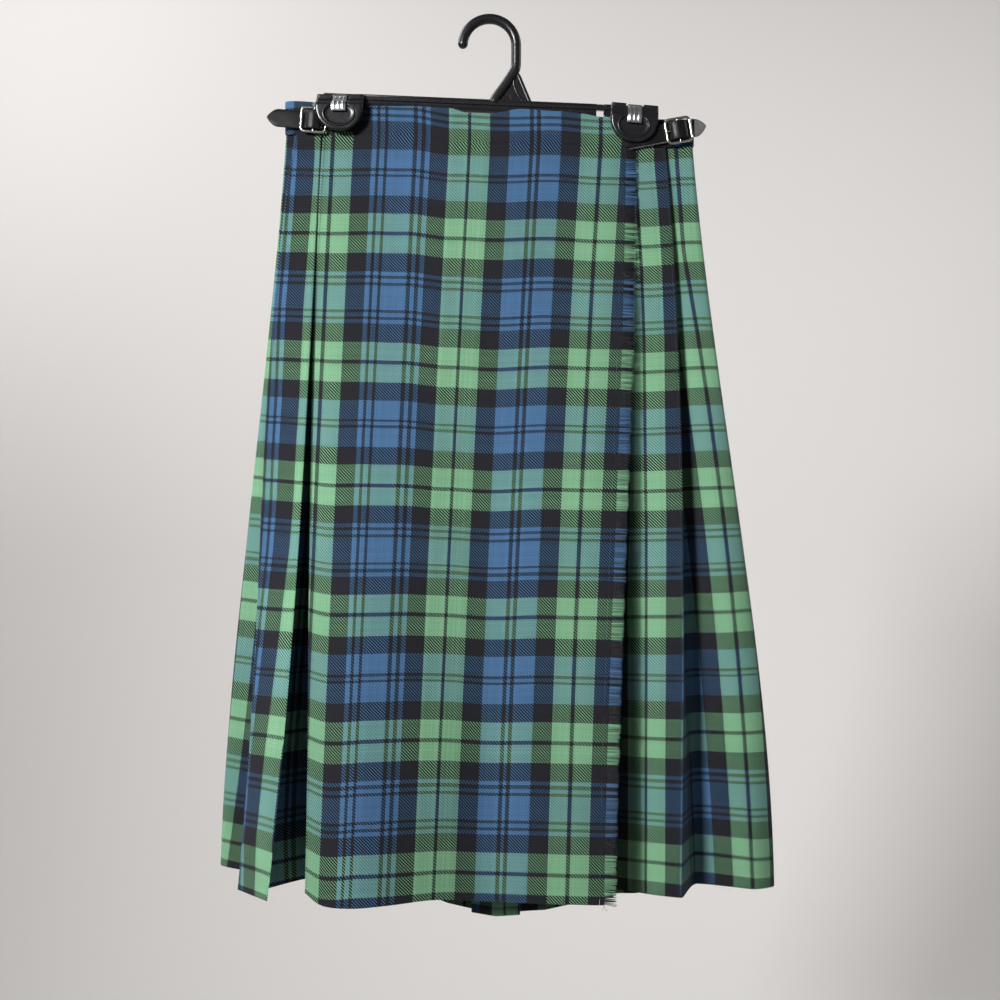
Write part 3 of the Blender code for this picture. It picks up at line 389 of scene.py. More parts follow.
# Share of the length and x of the green edge on the first side fold.
FIRST_GREEN = (
    (0.03, -156.5), (0.08, -158.5), (0.227, -165.5), (0.286, -167.0), (0.352, -168.7),
    (0.417, -171.3), (0.483, -173.1), (0.549, -176.5), (0.614, -181.6), (0.667, -185.7),
    (0.818, -198.0), (0.929, -205.0))
SECOND_GREEN = (-190.0, -206.8, -240.5)  # x of the same edge on the second
LAST_LINE = (170.8, 213.6, 240.3)        # x of the last panel's green column
# Share of the length and x where the ridge panel turns from black to green; then the cloth
# between that edge and the ridge.
RIDGE_GREEN = (
    (0.014, 147.6), (0.087, 151.9), (0.16, 155.2), (0.254, 157.5), (0.50, 159.7), (0.92, 159.8))
RIDGE_BLACK = (
    (0.0, 10.3), (0.087, 9.6), (0.16, 9.0), (0.254, 11.6), (0.42, 12.3), (0.51, 14.3),
    (0.62, 18.0), (1.0, 18.4))
GREEN_EDGE = 99.25          # cloth from the last line to that edge
FIRST_AT = 373.9
SECOND_AT = 458.2
FIRST_BLACK = 17.3          # cloth from that edge to the blue beyond it
FIRST_SEEN = (17.3, 17.0, 14.0)          # the width over which it shows from the front
# The weft rows rise and dip a little where the cloth was pressed: shares of the length, then
# the shift at each for a place along the strip, counted from the fringe and the last line.
ROW_AT = (0.126, 0.297, 0.458, 0.629, 0.790, 0.961)
LEVEL = (0.0, 0.0, 0.0, 0.0, 0.0, 0.0)
ROWS_LEFT = (
    (-10.0, (-0.3, -1.9, -1.8, -3.2, -0.1, 0.8)), (60.0, (0.1, 0.0, 0.3, -1.4, 0.9, 1.0)),
    (127.0, (1.9, 2.0, 2.3, -0.7, 1.0, 2.0)), (186.0, (3.5, 2.7, 2.7, 0.1, 0.8, -0.6)),
    (243.0, (3.8, 1.5, 2.5, 0.3, 4.6, 5.9)), (370.0, (3.7, 2.9, 3.1, 0.2, 2.7, 3.2)),
    (391.0, (3.3, 1.4, 1.0, 0.1, 3.5, 3.6)), (471.0, (-0.4, -1.4, -2.3, -4.1, -1.0, 0.7)),
    (560.0, LEVEL))
ROWS_RIGHT = (
    (-120.0, LEVEL), (-12.0, (-0.7, -4.4, -4.8, -7.9, -3.9, -1.2)),
    (11.0, (-1.0, -4.6, -4.5, -6.2, -3.2, -2.7)), (110.0, (2.7, -1.0, -2.5, -4.0, -1.4, -4.1)),
    (200.0, LEVEL))


def apron_place(x, row=0):
    """Place along the strip at x on the outer apron, in one row of the mesh."""
    lines = [through(*line)[row] for line in (LINE_1, LINE_2, LINE_3)]
    known = [lines[0] + UNSTRETCHED, *lines, lines[2] - UNSTRETCHED]
    cloth = (-UNSTRETCHED, 0.0, SETT / 2, SETT, SETT + UNSTRETCHED)
    return np.interp(-x, [-k for k in known], cloth)


def strip_places(points, index):
    """Distance along the strip, in millimetres of flat cloth, at every point of it."""
    x = points[..., 0]
    run = run_along(points[..., :2])
    place = np.full(run.shape, np.nan)

    def span(start, end):
        return slice(index[start], index[end] + 1)

    def run_at(start, end, level_x):
        """Run along the strip where a panel crosses x, at every height."""
        cut = span(start, end)
        found = np.empty(ROWS)
        for j in range(ROWS):
            order = np.argsort(x[j, cut])
            found[j] = np.interp(level_x[j], x[j, cut][order], run[j, cut][order])
        return found

    def lay(start, end, at_run, value):
        """Cloth laid without stretch between two knots, from a known place."""
        cut = span(start, end)
        place[:, cut] = value + run[:, cut] - at_run[:, None]

    apron = slice(0, index["apron_fold"] + 1)
    for j in range(ROWS):
        place[j, apron] = apron_place(x[j, apron], j)
    first = span("first_right", "first_left")
    off = x[:, first] - follow(FIRST_GREEN)[:, None]
    slope = np.where(off < 0.0, FIRST_BLACK / through(*FIRST_SEEN)[:, None], 1.0)
    place[:, first] = FIRST_AT - off * slope
    turn = index["first_left"]
    lay("first_left", "first_back", run[:, turn], place[:, turn:turn + 1])
    lay("second_nose", "left_side", run_at("second_nose", "left_side", through(*SECOND_GREEN)),
        SECOND_AT)

    lower = slice(ROWS // 2, ROWS)
    side = index["left_side"]
    outer = "_pleat_%d" % LAST_PLEAT
    left_outer = (place[:, side] + run[:, index["left" + outer]] - run[:, side])[lower].mean()
    line = run_at("last_edge", "last_flat", through(*LAST_LINE))
    reach = (line - run[:, index["right" + outer]])[lower].mean()
    across = (2 * LAST_PLEAT + 2 / 3) * PLEAT_CLOTH
    last = round((left_outer + across + reach) / SETT) * SETT
    for number in range(LAST_PLEAT + 1):
        inward = (LAST_PLEAT - number) * PLEAT_CLOTH
        for side, value in (("left", left_outer + inward), ("right", last - reach - inward)):
            edge = "%s_pleat_%d" % (side, number)
            inner = "%s_pleat_%d_inner" % (side, number + 1) if number < LAST_PLEAT else edge
            ends = (inner, edge) if side == "left" else (edge, inner)
            lay(*ends, run[:, index[edge]], value)
    lay("right_side", "last_under", line, last)

    green = run_at("ridge", "valley_side", follow(RIDGE_GREEN))
    lay("ridge", "under_edge", green, last + GREEN_EDGE)
    panel = span("ridge", "ridge_flat")
    start = index["ridge"]
    share = (run[:, panel] - green[:, None]) / (run[:, start] - green)[:, None]
    short = place[:, start] - (last + GREEN_EDGE - follow(RIDGE_BLACK))
    place[:, panel] -= np.clip(share, 0.0, 1.0) * short[:, None]
    known = ~np.isnan(place[0])
    for j in range(ROWS):
        place[j] = np.interp(run[j], run[j, known], place[j, known])
    return place, last


def row_shift(place, last):
    """How far the weft rows lie above their level course at every point of the strip."""
    rows = [*ROWS_LEFT, *((last + at, shifts) for at, shifts in ROWS_RIGHT)]
    at = [row[0] for row in rows]
    courses = np.array([np.interp(T, ROW_AT, row[1]) for row in rows])
    return np.array([np.interp(place[j], at, courses[:, j]) for j in range(ROWS)])


# ---------------------------------------------------------------------- meshes
def piece(name, vertices, faces, material, sharp=35.0):
    """Object in metres from points in millimetres."""
    mesh = bpy.data.meshes.new(name)
    mesh.from_pydata((np.asarray(vertices) * MM).tolist(), [], faces)
    mesh.validate()
    mesh.materials.append(material)
    mesh.shade_smooth()
    if sharp:
        mesh.set_sharp_from_angle(angle=math.radians(sharp))
    made = bpy.data.objects.new(name, mesh)
    bpy.context.scene.collection.objects.link(made)
    return made


def lay_cloth_map(made, places):
    """Place of every vertex in the flat cloth, in metres, as the map that the tartan reads."""
    mesh = made.data
    layer = mesh.uv_layers.new(name="cloth")
    corners = np.empty(len(mesh.loops), np.int32)
    mesh.loops.foreach_get("vertex_index", corners)
    layer.data.foreach_set("uv", (np.asarray(places)[corners] * MM).ravel().astype(np.float32))


def mitres(points):
    """Horizontal steps to the left of runs of points (rows, columns, 3), one unit thick."""
    along = np.diff(points[..., :2], axis=1)
    along /= np.maximum(np.linalg.norm(along, axis=2, keepdims=True), 1e-9)
    normal = np.stack([-along[..., 1], along[..., 0]], axis=-1)
    both = normal[:, :-1] + normal[:, 1:]
    dots = (normal[:, :-1] * normal[:, 1:]).sum(axis=2, keepdims=True)
    middle = both / np.maximum(1.0 + dots, 0.35)
    flat = np.concatenate([normal[:, :1], middle, normal[:, -1:]], axis=1)
    return np.concatenate([flat, np.zeros((*flat.shape[:2], 1))], axis=2)


def shell(name, points, places, material, sinks=0.0):
    """Closed thin wall on a grid of points, with its cloth map."""
    half = np.broadcast_to(SHELL / 2 - sinks * STITCH_SINK_DEPTH, points.shape[1])
    step = mitres(points) * half[None, :, None]
    made = piece(name, *slab(points + step, points - step), material)
    flat = stacked(*places).reshape(-1, 2)
    lay_cloth_map(made, np.concatenate([flat, flat]))
    return made


def ease(points):
    """Slow unevenness of hung wool: every layer at a place shares it, so none touch."""
    x, z = points[..., 0], points[..., 2]
    down = np.clip((-115.0 - z) / 130.0, 0.0, 1.0)
    wave = (0.55 * np.sin(x / 37.0 + z / 90.0 + 0.4) + 0.4 * np.sin(x / 23.0 - z / 61.0 + 1.7)
            + 0.22 * np.sin(x / 12.5 + z / 33.0 + 2.9) + 0.18 * np.sin(z / 24.0 - x / 70.0))
    points[..., 1] += wave * down
    return points


def ridden(made, slot, *nodes):
    """Ride on the one body and stand for CAD nodes; slot is not used."""
    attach(made, "root")
    if nodes:
        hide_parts(*nodes)
    return made


def tuck(points, index):
    """Lift the skirt's top edge into the band wherever the band closes over it."""
    x, y = points[0, :, 0], points[0, :, 1]
    lift = np.zeros(len(x), bool)
    for name, places in band_places().items():
        xs, ys = np.array(sorted(places)).T
        near = np.abs(np.interp(x, xs, ys) - y) < 0.75
        same_side = behind(points, index) == (name == "waistband_back")
        lift |= near & same_side & (x > xs[0] + 3.0) & (x < xs[-1] - 1.0)
    points[0, lift, 2] += TUCK
    return points


def stitches(points, index, sinks, material):
    """Short sunk stitches of the edge seam along each stitched fold."""
    parts = []
    sides = mitres(points)
    for name in STITCHED:
        fold = index[name]
        near = [c for c in range(fold - 12, fold + 13) if 0 <= c < len(sinks) and sinks[c] > 0.9]
        column = min(near, key=lambda c: abs(c - fold))
        lift = SHELL / 2 - STITCH_SINK_DEPTH * sinks[column] + 0.04
        line = points[:, column] + sides[:, column] * lift
        run = run_along(line)
        for at in np.arange(3.0, run[-1] - 3.0, STITCH_LENGTH + STITCH_SPACE):
            s = np.array((0.0, 0.12, 0.5, 0.88, 1.0)) * STITCH_LENGTH + at
            path = np.stack([np.interp(s, run, line[:, k]) for k in range(3)], axis=1)
            path += sides[0, column] * np.array((-0.12, 0.08, 0.12, 0.08, -0.12))[:, None]
            parts.append(rod(path, (0.08, 0.17, 0.19, 0.17, 0.08), 5))
    return solid("edge_stitches", parts, material, "tartan_cloth", sharp=0)


def loose_threads(points, index, material):
    """Single threads that have worked out of the cloth at its edges."""
    rng = np.random.default_rng(5)
    edge = ease(apron_edge(T))
    fold = points[:, index["apron_fold"]]
    parts = []
    for line, row, way in ((edge, 16, 1.0), (edge, 96, 1.0), (edge, 97, 0.6), (edge, 97, -0.7),
                           (fold, 77, -1.0), (fold, 60, -0.5), (edge, 95, 0.9)):
        x, y, z = line[row] + np.array((-0.5 * way, -0.6, 0.0))
        span = rng.uniform(3.5, 7.0)
        s = np.linspace(0.0, 1.0, 9)
        path = stacked(x + way * span * s, y - 1.4 * np.sin(s * 2.6),
                       z + span * (0.5 * np.sin(s * 3.0 + row) - 0.5 * s))
        parts.append(rod(path, np.linspace(0.17, 0.08, 9), 6))
    return solid("loose_threads", parts, material, "tartan_cloth", sharp=0)


def skirt(material):
    """The five lengths of the skirt cloth, each in the place of its CAD node. Returns the
    place along the strip of the last panel's line."""
    points, index, sinks = strip_columns()
    place, last = strip_places(points, index)
    points = tuck(ease(points), index)
    drop = LENGTH * (1.0 - T)[:, None] + row_shift(place, last)
    left, right = SEAMS[1], SEAMS[2]
    for name, start, end, flat, held in (
            ("outer_apron", "apron_0", "left_join", (0.320, 0.678), "hung"),
            ("left_pleats", "left_join", left, (0.422, 0.678), "folded"),
            ("back_pleats", left, right, (0.732, 0.678), "folded"),
            ("right_pleats", right, "right_join", (0.425, 0.678), "folded"),
            ("under_apron", "right_join", "under_edge", (0.262, 0.678), "hung")):
        cut = slice(index[start], index[end] + 1)
        grid = points[:, cut].copy()
        part_ends(grid)
        grid[0, :, 2] -= GAP / 2
        panel = shell(name + "_cloth", grid, (place[:, cut], drop[:, cut]), material, sinks[cut])
        ridden(panel, "tartan_cloth", name)
    stitches(points, index, sinks, fibre("seam_thread", (0.012, 0.022, 0.035)))
    loose_threads(points, index, fibre("loose_thread", (0.05, 0.07, 0.06)))
    return last


# ------------------------------------------------------------------- materials
YARN = 0.70                 # spacing of the yarns
BLUE = (0.056, 0.138, 0.275)
BLACK = (0.009, 0.009, 0.014)
GREEN = (0.190, 0.400, 0.232)
SHADES = {"B": BLUE, "K": BLACK, "G": GREEN}
CROSSING_LINT_AND_SHADE = 1.15           # how much darker dyed yarns are painted where black yarns cross them: their black lint, and painted shade from the black floats
TWILL_TONE = 0.18           # warp floats catch more light than weft floats
FLOAT_PAINTED_LIGHT = 1.60           # painted light: how much the middle of a dyed float is lifted out of that painted shade
# From the middle of the blue block outwards to the middle of the next: shades, their ends.
SETT_SHADES = "BKBKBKGKGKBKB"
WARP_MIDDLE = 177.7
WARP_HALF = SETT / 2
WARP = (10.9, 14.3, 17.7, 21.1, 25.15, 41.65, 58.25, 61.55, 78.15, 95.45, 113.45, 117.05, 118.8)
WEFT_MIDDLE = 84.45
WEFT_HALF = 112.5
WEFT = (10.7, 13.6, 17.1, 20.0, 23.6, 39.7, 56.2, 59.7, 75.7, 91.8, 108.2, 111.0, 112.5)


class Graph:
    """Shader graph of one material."""

    def __init__(self, name, roughness, **levels):
        self.material = bpy.data.materials.new(name)
        self.material.use_nodes = True
        self.tree = self.material.node_tree
        self.shader = self.tree.nodes["Principled BSDF"]
        self.shader.inputs["Roughness"].default_value = roughness
        for level, value in levels.items():
            self.shader.inputs[level.replace("_", " ")].default_value = value

    def put(self, socket, value):
        if isinstance(value, bpy.types.NodeSocket):
            self.tree.links.new(value, socket)
        else:
            socket.default_value = value

    def node(self, kind, **settings):
        made = self.tree.nodes.new(kind)
        for key, value in settings.items():
            setattr(made, key, value)
        return made

    def math(self, operation, *values):
        made = self.node("ShaderNodeMath", operation=operation)
        for socket, value in zip(made.inputs, values):
            self.put(socket, value)
        return made.outputs[0]

    def plus(self, a, b):
        return self.math("ADD", a, b)

    def minus(self, a, b):
        return self.math("SUBTRACT", a, b)

    def times(self, a, b):
        return self.math("MULTIPLY", a, b)

    def mix(self, share, a, b, blend="MIX"):
        made = self.node("ShaderNodeMix", data_type="RGBA", blend_type=blend)
        for socket, value in ((made.inputs[0], share), (made.inputs[6], a), (made.inputs[7], b)):
            if isinstance(value, tuple) and len(value) == 3:
                value = (*value, 1.0)
            self.put(socket, value)
        return made.outputs[2]

    def noise(self, vector, scale, detail=2.0, roughness=0.5):
        made = self.node("ShaderNodeTexNoise")
        self.put(made.inputs["Vector"], vector)
        for key, value in (("Scale", scale), ("Detail", detail), ("Roughness", roughness)):
            made.inputs[key].default_value = value
        return made.outputs["Fac"]

    def ramp(self, share, stops, interpolation="LINEAR"):
        made = self.node("ShaderNodeValToRGB")
        made.color_ramp.interpolation = interpolation
        elements = made.color_ramp.elements
        while len(elements) < len(stops):
            elements.new(1.0)
        for element, (position, colour) in zip(elements, stops):
            element.position = position
            element.color = colour if len(colour) == 4 else (*colour, 1.0)
        self.put(made.inputs[0], share)
        return made.outputs[0]

    def spread(self, value, low, high):
        """Value from 0 to 1 moved to lie from low to high."""
        return self.math("MULTIPLY_ADD", value, high - low, low)

    def grey(self, value):
        made = self.node("ShaderNodeCombineColor")
        for socket in made.inputs:
            self.put(socket, value)
        return made.outputs[0]

    def shaded(self, colour, value):
        return self.mix(1.0, colour, self.grey(value), "MULTIPLY")

    def bump(self, height, strength, distance):
        made = self.node("ShaderNodeBump")
        made.inputs["Strength"].default_value = strength
        made.inputs["Distance"].default_value = distance
        self.put(made.inputs["Height"], height)
        self.put(self.shader.inputs["Normal"], made.outputs[0])

    def place(self):
        return self.node("ShaderNodeTexCoord").outputs["Object"]

    def split(self, vector):
        made = self.node("ShaderNodeSeparateXYZ")
        self.put(made.inputs[0], vector)
        return made.outputs

    def base(self, colour):
        self.put(self.shader.inputs["Base Color"], colour)

    def rough(self, value):
        self.put(self.shader.inputs["Roughness"], value)


def sett_stops(ends, half):
    """Stops of a colour ramp along half a sett; alpha is 0 on the black yarns."""
    return [(start / half, (*SHADES[shade], 0.0 if shade == "K" else 1.0))
            for shade, start in zip(SETT_SHADES, (0.0, *ends))]


def tartan(name, loose=False):
    """Wool twill woven from the sett, its yarns darkened at their edges by painted shade; loose
    yarns are weft alone.
    """
    g = Graph(name, 0.88, Sheen_Weight=0.12, Sheen_Roughness=0.45, Specular_IOR_Level=0.25)
    cloth = g.node("ShaderNodeUVMap", uv_map="cloth").outputs[0]
    axes = g.split(cloth)
    uneven = (0.35, 1.35) if loose else (0.84, 1.16)
    yarns = []
    for axis, table, middle, half in ((axes[0], WARP, WARP_MIDDLE, WARP_HALF),
                                      (axes[1], WEFT, WEFT_MIDDLE, WEFT_HALF)):
        count = g.times(axis, 1000.0 / YARN)
        number = g.math("FLOOR", count)
        centre = g.math("MULTIPLY_ADD", number, YARN, 0.5 * YARN - middle)
        away = g.math("PINGPONG", centre, half)
        colour = g.ramp(g.math("DIVIDE", away, half), sett_stops(table, half), "CONSTANT")
        dyed = colour.node.outputs["Alpha"]
        random = g.node("ShaderNodeTexWhiteNoise", noise_dimensions="1D")
        g.put(random.inputs["W"], number)
        colour = g.shaded(colour, g.spread(random.outputs["Value"], *uneven))
        across = g.math("PINGPONG", g.math("FRACT", count), 0.5)
        rounded = g.math("POWER", g.times(across, 2.0), 0.6)
        yarns.append((number, colour, rounded, dyed, count))
    (u, warp, u_round, u_dyed, u_count), (v, weft, v_round, v_dyed, v_count) = yarns
    if loose:
        colour = weft
        height = v_round
    else:
        over = g.math("LESS_THAN", g.math("FLOORED_MODULO", g.minus(u, v), 4.0), 2.0)
        colour = g.mix(over, weft, warp)
        height = g.plus(g.times(over, u_round), g.times(g.minus(1.0, over), v_round))
    fuzz = g.noise(cloth, 2600.0, 2.0, 0.6)
    cloudy = g.noise(cloth, 26.0, 3.0, 0.6)
    # Painted shade: the colour darkens towards each yarn's edges, where it rounds away; fuzz and
    # cloudy only vary the tone at random.
    shade = g.times(g.spread(height, 0.66, 1.09), g.spread(fuzz, 0.72, 1.28))
    shade = g.times(shade, g.spread(cloudy, 0.90, 1.10))
    if not loose:
        # Painted shade and painted light on the twill: dyed yarns darkened where black yarns
        # cross them, the middles of dyed floats lit up, and warp floats painted lighter than weft
        # floats.
        lead = g.minus(u_dyed, v_dyed)
        twill = g.minus(g.minus(u_count, v_count), 0.5)
        twill = g.minus(1.0, g.math("PINGPONG", twill, 2.0))
        sunk = g.times(g.math("ABSOLUTE", lead), CROSSING_LINT_AND_SHADE)
        float_painted_light = g.times(g.times(lead, twill), FLOAT_PAINTED_LIGHT)
        tone = g.times(g.plus(g.minus(1.0, sunk), float_painted_light), g.spread(twill, 1.0, 1.0 + TWILL_TONE))
        shade = g.times(shade, g.math("MAXIMUM", tone, 0.05))
    pale = g.grey(g.times(fuzz, 0.006))
    g.base(g.mix(1.0, g.shaded(colour, shade), pale, "ADD"))
    g.bump(g.plus(height, g.times(fuzz, 0.6)), 0.35, 0.0002)
    return g.material


def moulded(name, colour, roughness):
    """Moulded plastic: even, with a little flow texture and fine scratches."""
    g = Graph(name, roughness, Specular_IOR_Level=0.5)
    place = g.place()
    g.base(g.mix(g.noise(place, 60.0, 3.0), colour, tuple(1.7 * c for c in colour)))
    g.rough(g.spread(g.noise(place, 420.0, 4.0), roughness - 0.08, roughness + 0.12))
    g.bump(g.noise(place, 900.0, 3.0), 0.12, 0.0002)
    return g.material


def leather(name, worn_from):
    """Black strap leather: fine pebbled grain, and a worn grey end beyond a place along X."""
    g = Graph(name, 0.42, Specular_IOR_Level=0.2)
    place = g.place()
    cells = g.node("ShaderNodeTexVoronoi")
    g.put(cells.inputs["Vector"], place)
    cells.inputs["Scale"].default_value = 1100.0
    rubbed = g.noise(place, 90.0, 5.0, 0.65)
    colour = g.ramp(rubbed, ((0.35, (0.006, 0.006, 0.007)), (0.62, (0.011, 0.010, 0.011)),
                             (0.80, (0.035, 0.033, 0.033))))
    worn = g.math("GREATER_THAN", g.split(place)[0], worn_from)
    speckle = g.noise(place, 1500.0, 3.0, 0.7)
    grey = g.ramp(speckle, ((0.30, (0.035, 0.035, 0.035)), (0.70, (0.22, 0.215, 0.21))))
    g.base(g.mix(worn, colour, grey))
    g.rough(g.math("MAXIMUM", g.spread(rubbed, 0.22, 0.48), g.times(worn, 0.85)))
    g.bump(g.plus(cells.outputs["Distance"], g.noise(place, 300.0, 3.0)), 0.25, 0.0003)
    return g.material


def fibre(name, colour):
    """Loose fibre, uneven in tone."""
    g = Graph(name, 0.9, Sheen_Weight=0.1)
    g.base(g.mix(g.noise(g.place(), 700.0, 2.0), colour, tuple(2.2 * c for c in colour)))
    return g.material


def metal(name, colour, roughness, streak):
    """Plated metal with faint wear."""
    g = Graph(name, roughness, Metallic=1.0)
    place = g.place()
    cloudy = g.noise(place, 240.0, 4.0, 0.6)
    g.base(g.mix(cloudy, tuple(c * (1.0 - streak) for c in colour), colour))
    g.rough(g.spread(cloudy, roughness - 0.08, roughness + 0.14))
    g.bump(g.noise(place, 700.0, 3.0), 0.10, 0.0002)
    return g.material


def paper(name, colour):
    """Matt studio paper."""
    g = Graph(name, 0.95, Specular_IOR_Level=0.1)
    g.base(g.mix(g.noise(g.place(), 0.8, 2.0), tuple(0.985 * c for c in colour), colour))
    return g.material


# ------------------------------------------------------------------- waistband
BAND = 2.2
SEAM_GAP = 0.4
SEAM_PINCH = 0.62           # share of its thickness that the band keeps at its seam
UNDER_DROP = 1.5            # how much lower the under band's top edge lies
TUCK = 1.6                  # how far the skirt's edge is sewn up into the band
BAND_OUTER = (
    (129.0, -6.4), (104.0, -7.0), (60.0, -9.0), (0.0, -9.4), (-60.0, -9.0),
    (-100.0, -7.8), (-135.0, -6.4), (-165.0, -5.0), (-176.0, -3.8), (-181.0, -2.4),
    (-182.6, -1.0), (-182.7, 0.2))
BAND_UNDER = (
    (182.7, 0.2), (182.6, -0.8), (181.2, -2.0), (176.0, -2.8), (168.0, -3.0),
    (150.0, -3.4), (132.0, -3.5), (104.0, -4.2), (60.0, -6.2), (0.0, -6.6),
    (-60.0, -6.2), (-100.0, -4.6), (-125.0, -3.8))
BAND_TURN = ((182.6, 1.5), (180.9, 3.3))
BAND_BACK_SHARES = 11
BAND_LOW = 724.65           # place of the band's lower edge along the warp


def plan_run(places, spacing):
    """Evenly fine horizontal run through (x, y) places."""
    knots = [Knot("", np.array([[x, y, 0.0]]), True) for x, y in places]
    path = Path(knots)
    blocks = []
    for i in range(len(knots) - 1):
        parts = max(2, int(math.ceil(path.lengths[0, i] / spacing)))
        blocks.append(path.along(i, np.arange(parts)[None] / parts)[0])
    return np.concatenate([*blocks, knots[-1].point])


def band_places():
    at = back_curve()
    behind = [BAND_OUTER[-1], *((-x, y) for x, y in BAND_TURN)]
    for number in range(BAND_BACK_SHARES):
        share = 0.04 + 0.92 * number / (BAND_BACK_SHARES - 1)
        behind.append(tuple(at(share, 0.0, 0.3)[0, :2]))
    behind += [*reversed(BAND_TURN), BAND_UNDER[0]]
    return {"waistband_outer": BAND_OUTER, "waistband_under": BAND_UNDER,
            "waistband_back": behind}


def waistband(material, last):
    """The folded band in its three lengths, round along its top and drawn in at its seam."""
    half = BAND / 2
    climbs = (0.0, 0.07, 0.25, 0.5, 0.75, 0.93)
    made = {}
    for name, places in band_places().items():
        line = plan_run(places, 3.0)
        part_ends(line)
        x = line[:, 0]
        run = run_along(line)
        seam = height_at(SEAM_FRONT, x)
        high = height_at(BAND_TOP_FRONT, x)
        across = apron_place(x)
        if name == "waistband_back":
            seam = seam_back(x)
            high = seam + BAND_HEIGHT
            across = apron_place(BAND_OUTER[-1][0]) + run
        elif name == "waistband_under":
            high = high - UNDER_DROP
            across = last + GREEN_EDGE + follow(RIDGE_GREEN)[0] - x
        low = seam + SEAM_GAP + 0.2
        swell = 1.0 + 0.10 * np.sin(run / 17.0) + 0.06 * np.sin(run / 7.3 + 1.0)
        face = [(half * (1.0 if share else SEAM_PINCH), low + (high - half - low) * share)
                for share in climbs]
        fold = [(half * math.cos(angle), high - half + half * math.sin(angle) * swell)
                for angle in np.linspace(0.0, math.pi, 7)[1:-1]]
        step = mitres(line[None])[0]
        section = []
        for side, height in (*face, *fold, *((-side, height) for side, height in face[::-1])):
            section.append(line + step * side)
            section[-1][:, 2] = height
        rings = np.stack(section, axis=1)
        band = piece(name + "_cloth", *loft(rings), material, 50.0)
        flat = stacked(across[:, None], BAND_LOW + run_along(rings))
        lay_cloth_map(band, flat.reshape(-1, 2))
        made[name] = ridden(band, "tartan_cloth", name)
    return made


# ---------------------------------------------------------------------- fringe
STRANDS = 1120
STRAND = 0.30               # radius of a loose weft yarn at its root


def apron_edge(t):
    return hang(lagrange(FRINGE_ROOT, t), FRINGE_ROOT[0], *APRON[0][1:], t)


def fringe(woven, loose, last):
    """Woven root strip and the weft yarns left long, in loose bunches."""
    rng = np.random.default_rng(7)
    edge = ease(apron_edge(T))
    root = np.stack([edge, edge - (FRINGE_STRIP / 2, 0, 0), edge - (FRINGE_STRIP, 0, 0)], axis=1)
    root[0, :, 2] += TUCK
    place = through(*LINE_1)[:, None] - root[..., 0]
    shift = row_shift(place, last)
    strip = shell("fringe_root", root, (place, LENGTH * (1.0 - T)[:, None] + shift), woven)
    ridden(strip, "tartan_cloth", "apron_fringe")
    t = (np.arange(STRANDS) + 0.5) / STRANDS * 0.998 + 0.001
    start = ease(apron_edge(t))
    row = LENGTH * (1.0 - t) + np.interp(t, T, shift[:, 0])
    bunch = np.sin(np.arange(STRANDS) * 0.33) + 0.8 * np.sin(np.arange(STRANDS) * 0.71 + 1.0)
    tangle = np.interp(t, (0.0, 0.22, 0.45, 0.97, 1.0), (2.2, 1.8, 0.8, 0.8, 4.0))
    lean = (0.34 * bunch + rng.normal(0.0, 0.16, STRANDS)) * tangle
    length = FRINGE_LENGTH - 0.7 + 0.5 * np.sin(t * 190.0) + rng.normal(0.0, 0.35, STRANDS)
    depth = rng.normal(0.0, 0.25, STRANDS)
    curl = rng.normal(0.0, 0.16, STRANDS) * tangle
    along = np.array((-1.2, 0.0, 0.25, 0.5, 0.75, 0.94, 1.0))
    thick = np.array((0.7, 1.0, 1.0, 0.95, 0.9, 0.7, 0.25)) * STRAND
    bend = np.maximum(along, 0.0)
    turns = np.arange(5) * 2 * math.pi / 5
    ring = stacked(0.0, np.cos(turns), np.sin(turns))
    strands = []
    flat = []
    for i in range(STRANDS):
        reach = np.where(along > 0.0, along * length[i], along)
        move = stacked(reach, depth[i] * bend + 0.3 * curl[i] * np.sin(3.0 * bend),
                       lean[i] * bend + curl[i] * bend ** 2 - 0.5 * bend)
        strands.append(loft((start[i] + move)[:, None] + ring * thick[:, None, None]))
        flat.append(stacked(-40.0 - reach[:, None], np.full(5, row[i])).reshape(-1, 2))
    threads = solid("fringe_yarns", strands, loose, "tartan_cloth", ("apron_fringe",), 0)
    lay_cloth_map(threads, np.concatenate(flat))


# ------------------------------------------------------------------ hard pieces
LEATHER_WIDTH = 16.0
LEATHER = 1.6
TAB = 1.2
FRAME_WIDTH = 24.5
FRAME_HEIGHT = 23.5
FRAME_WIRE = 1.25
FRAME_SIDE = FRAME_WIDTH / 2 - FRAME_WIRE
BAR_WIRE = 0.9
PRONG_WIRE = 0.7
# side, centre of the buckle, tilt, way the tip points, reach of tip and root, face behind it
Buckle = namedtuple("Buckle", "name x z tilt way tip root face")
BUCKLES = (Buckle("right", 168.9, -98.4, 10.0, 1, 25.0, 46.0, -5.4),
           Buckle("left", -156.7, -89.5, -4.0, -1, 42.0, 38.0, -6.8))
HOOK_WIRE = 4.5
HOOK_INNER = 19.5
BAR_TILT = -2.42
BAR_TOP = -68.6
Clip = namedtuple("Clip", "name x z tilt grip")
CLIPS = (Clip("left", -133.5, -64.8, 0.0, -16.7), Clip("right", 130.5, -73.6, -5.0, -10.3))
CLIP_HALF = 21.5
CLIP_HEIGHT = 35.8
JAW = 3.4
BACK_GRIP = 9.8
TOP_DEPTH = 4.2
SPRING_HALF = 6.3
SPRING = 0.8
DISH_HALF = 13.8
DISH_MIDDLE = 21.0
DISH_LOW = 10.8
DISH_HIGH = 9.0
SADDLE = 3.4


def tilted(points, degrees, x, z):
    """Points turned in the XZ plane, which lifts their right side, and then moved."""
    c, s = math.cos(math.radians(degrees)), math.sin(math.radians(degrees))
    p = np.asarray(points, float)
    return np.stack([p[..., 0] * c - p[..., 2] * s + x, p[..., 1],
                     p[..., 0] * s + p[..., 2] * c + z], axis=-1)


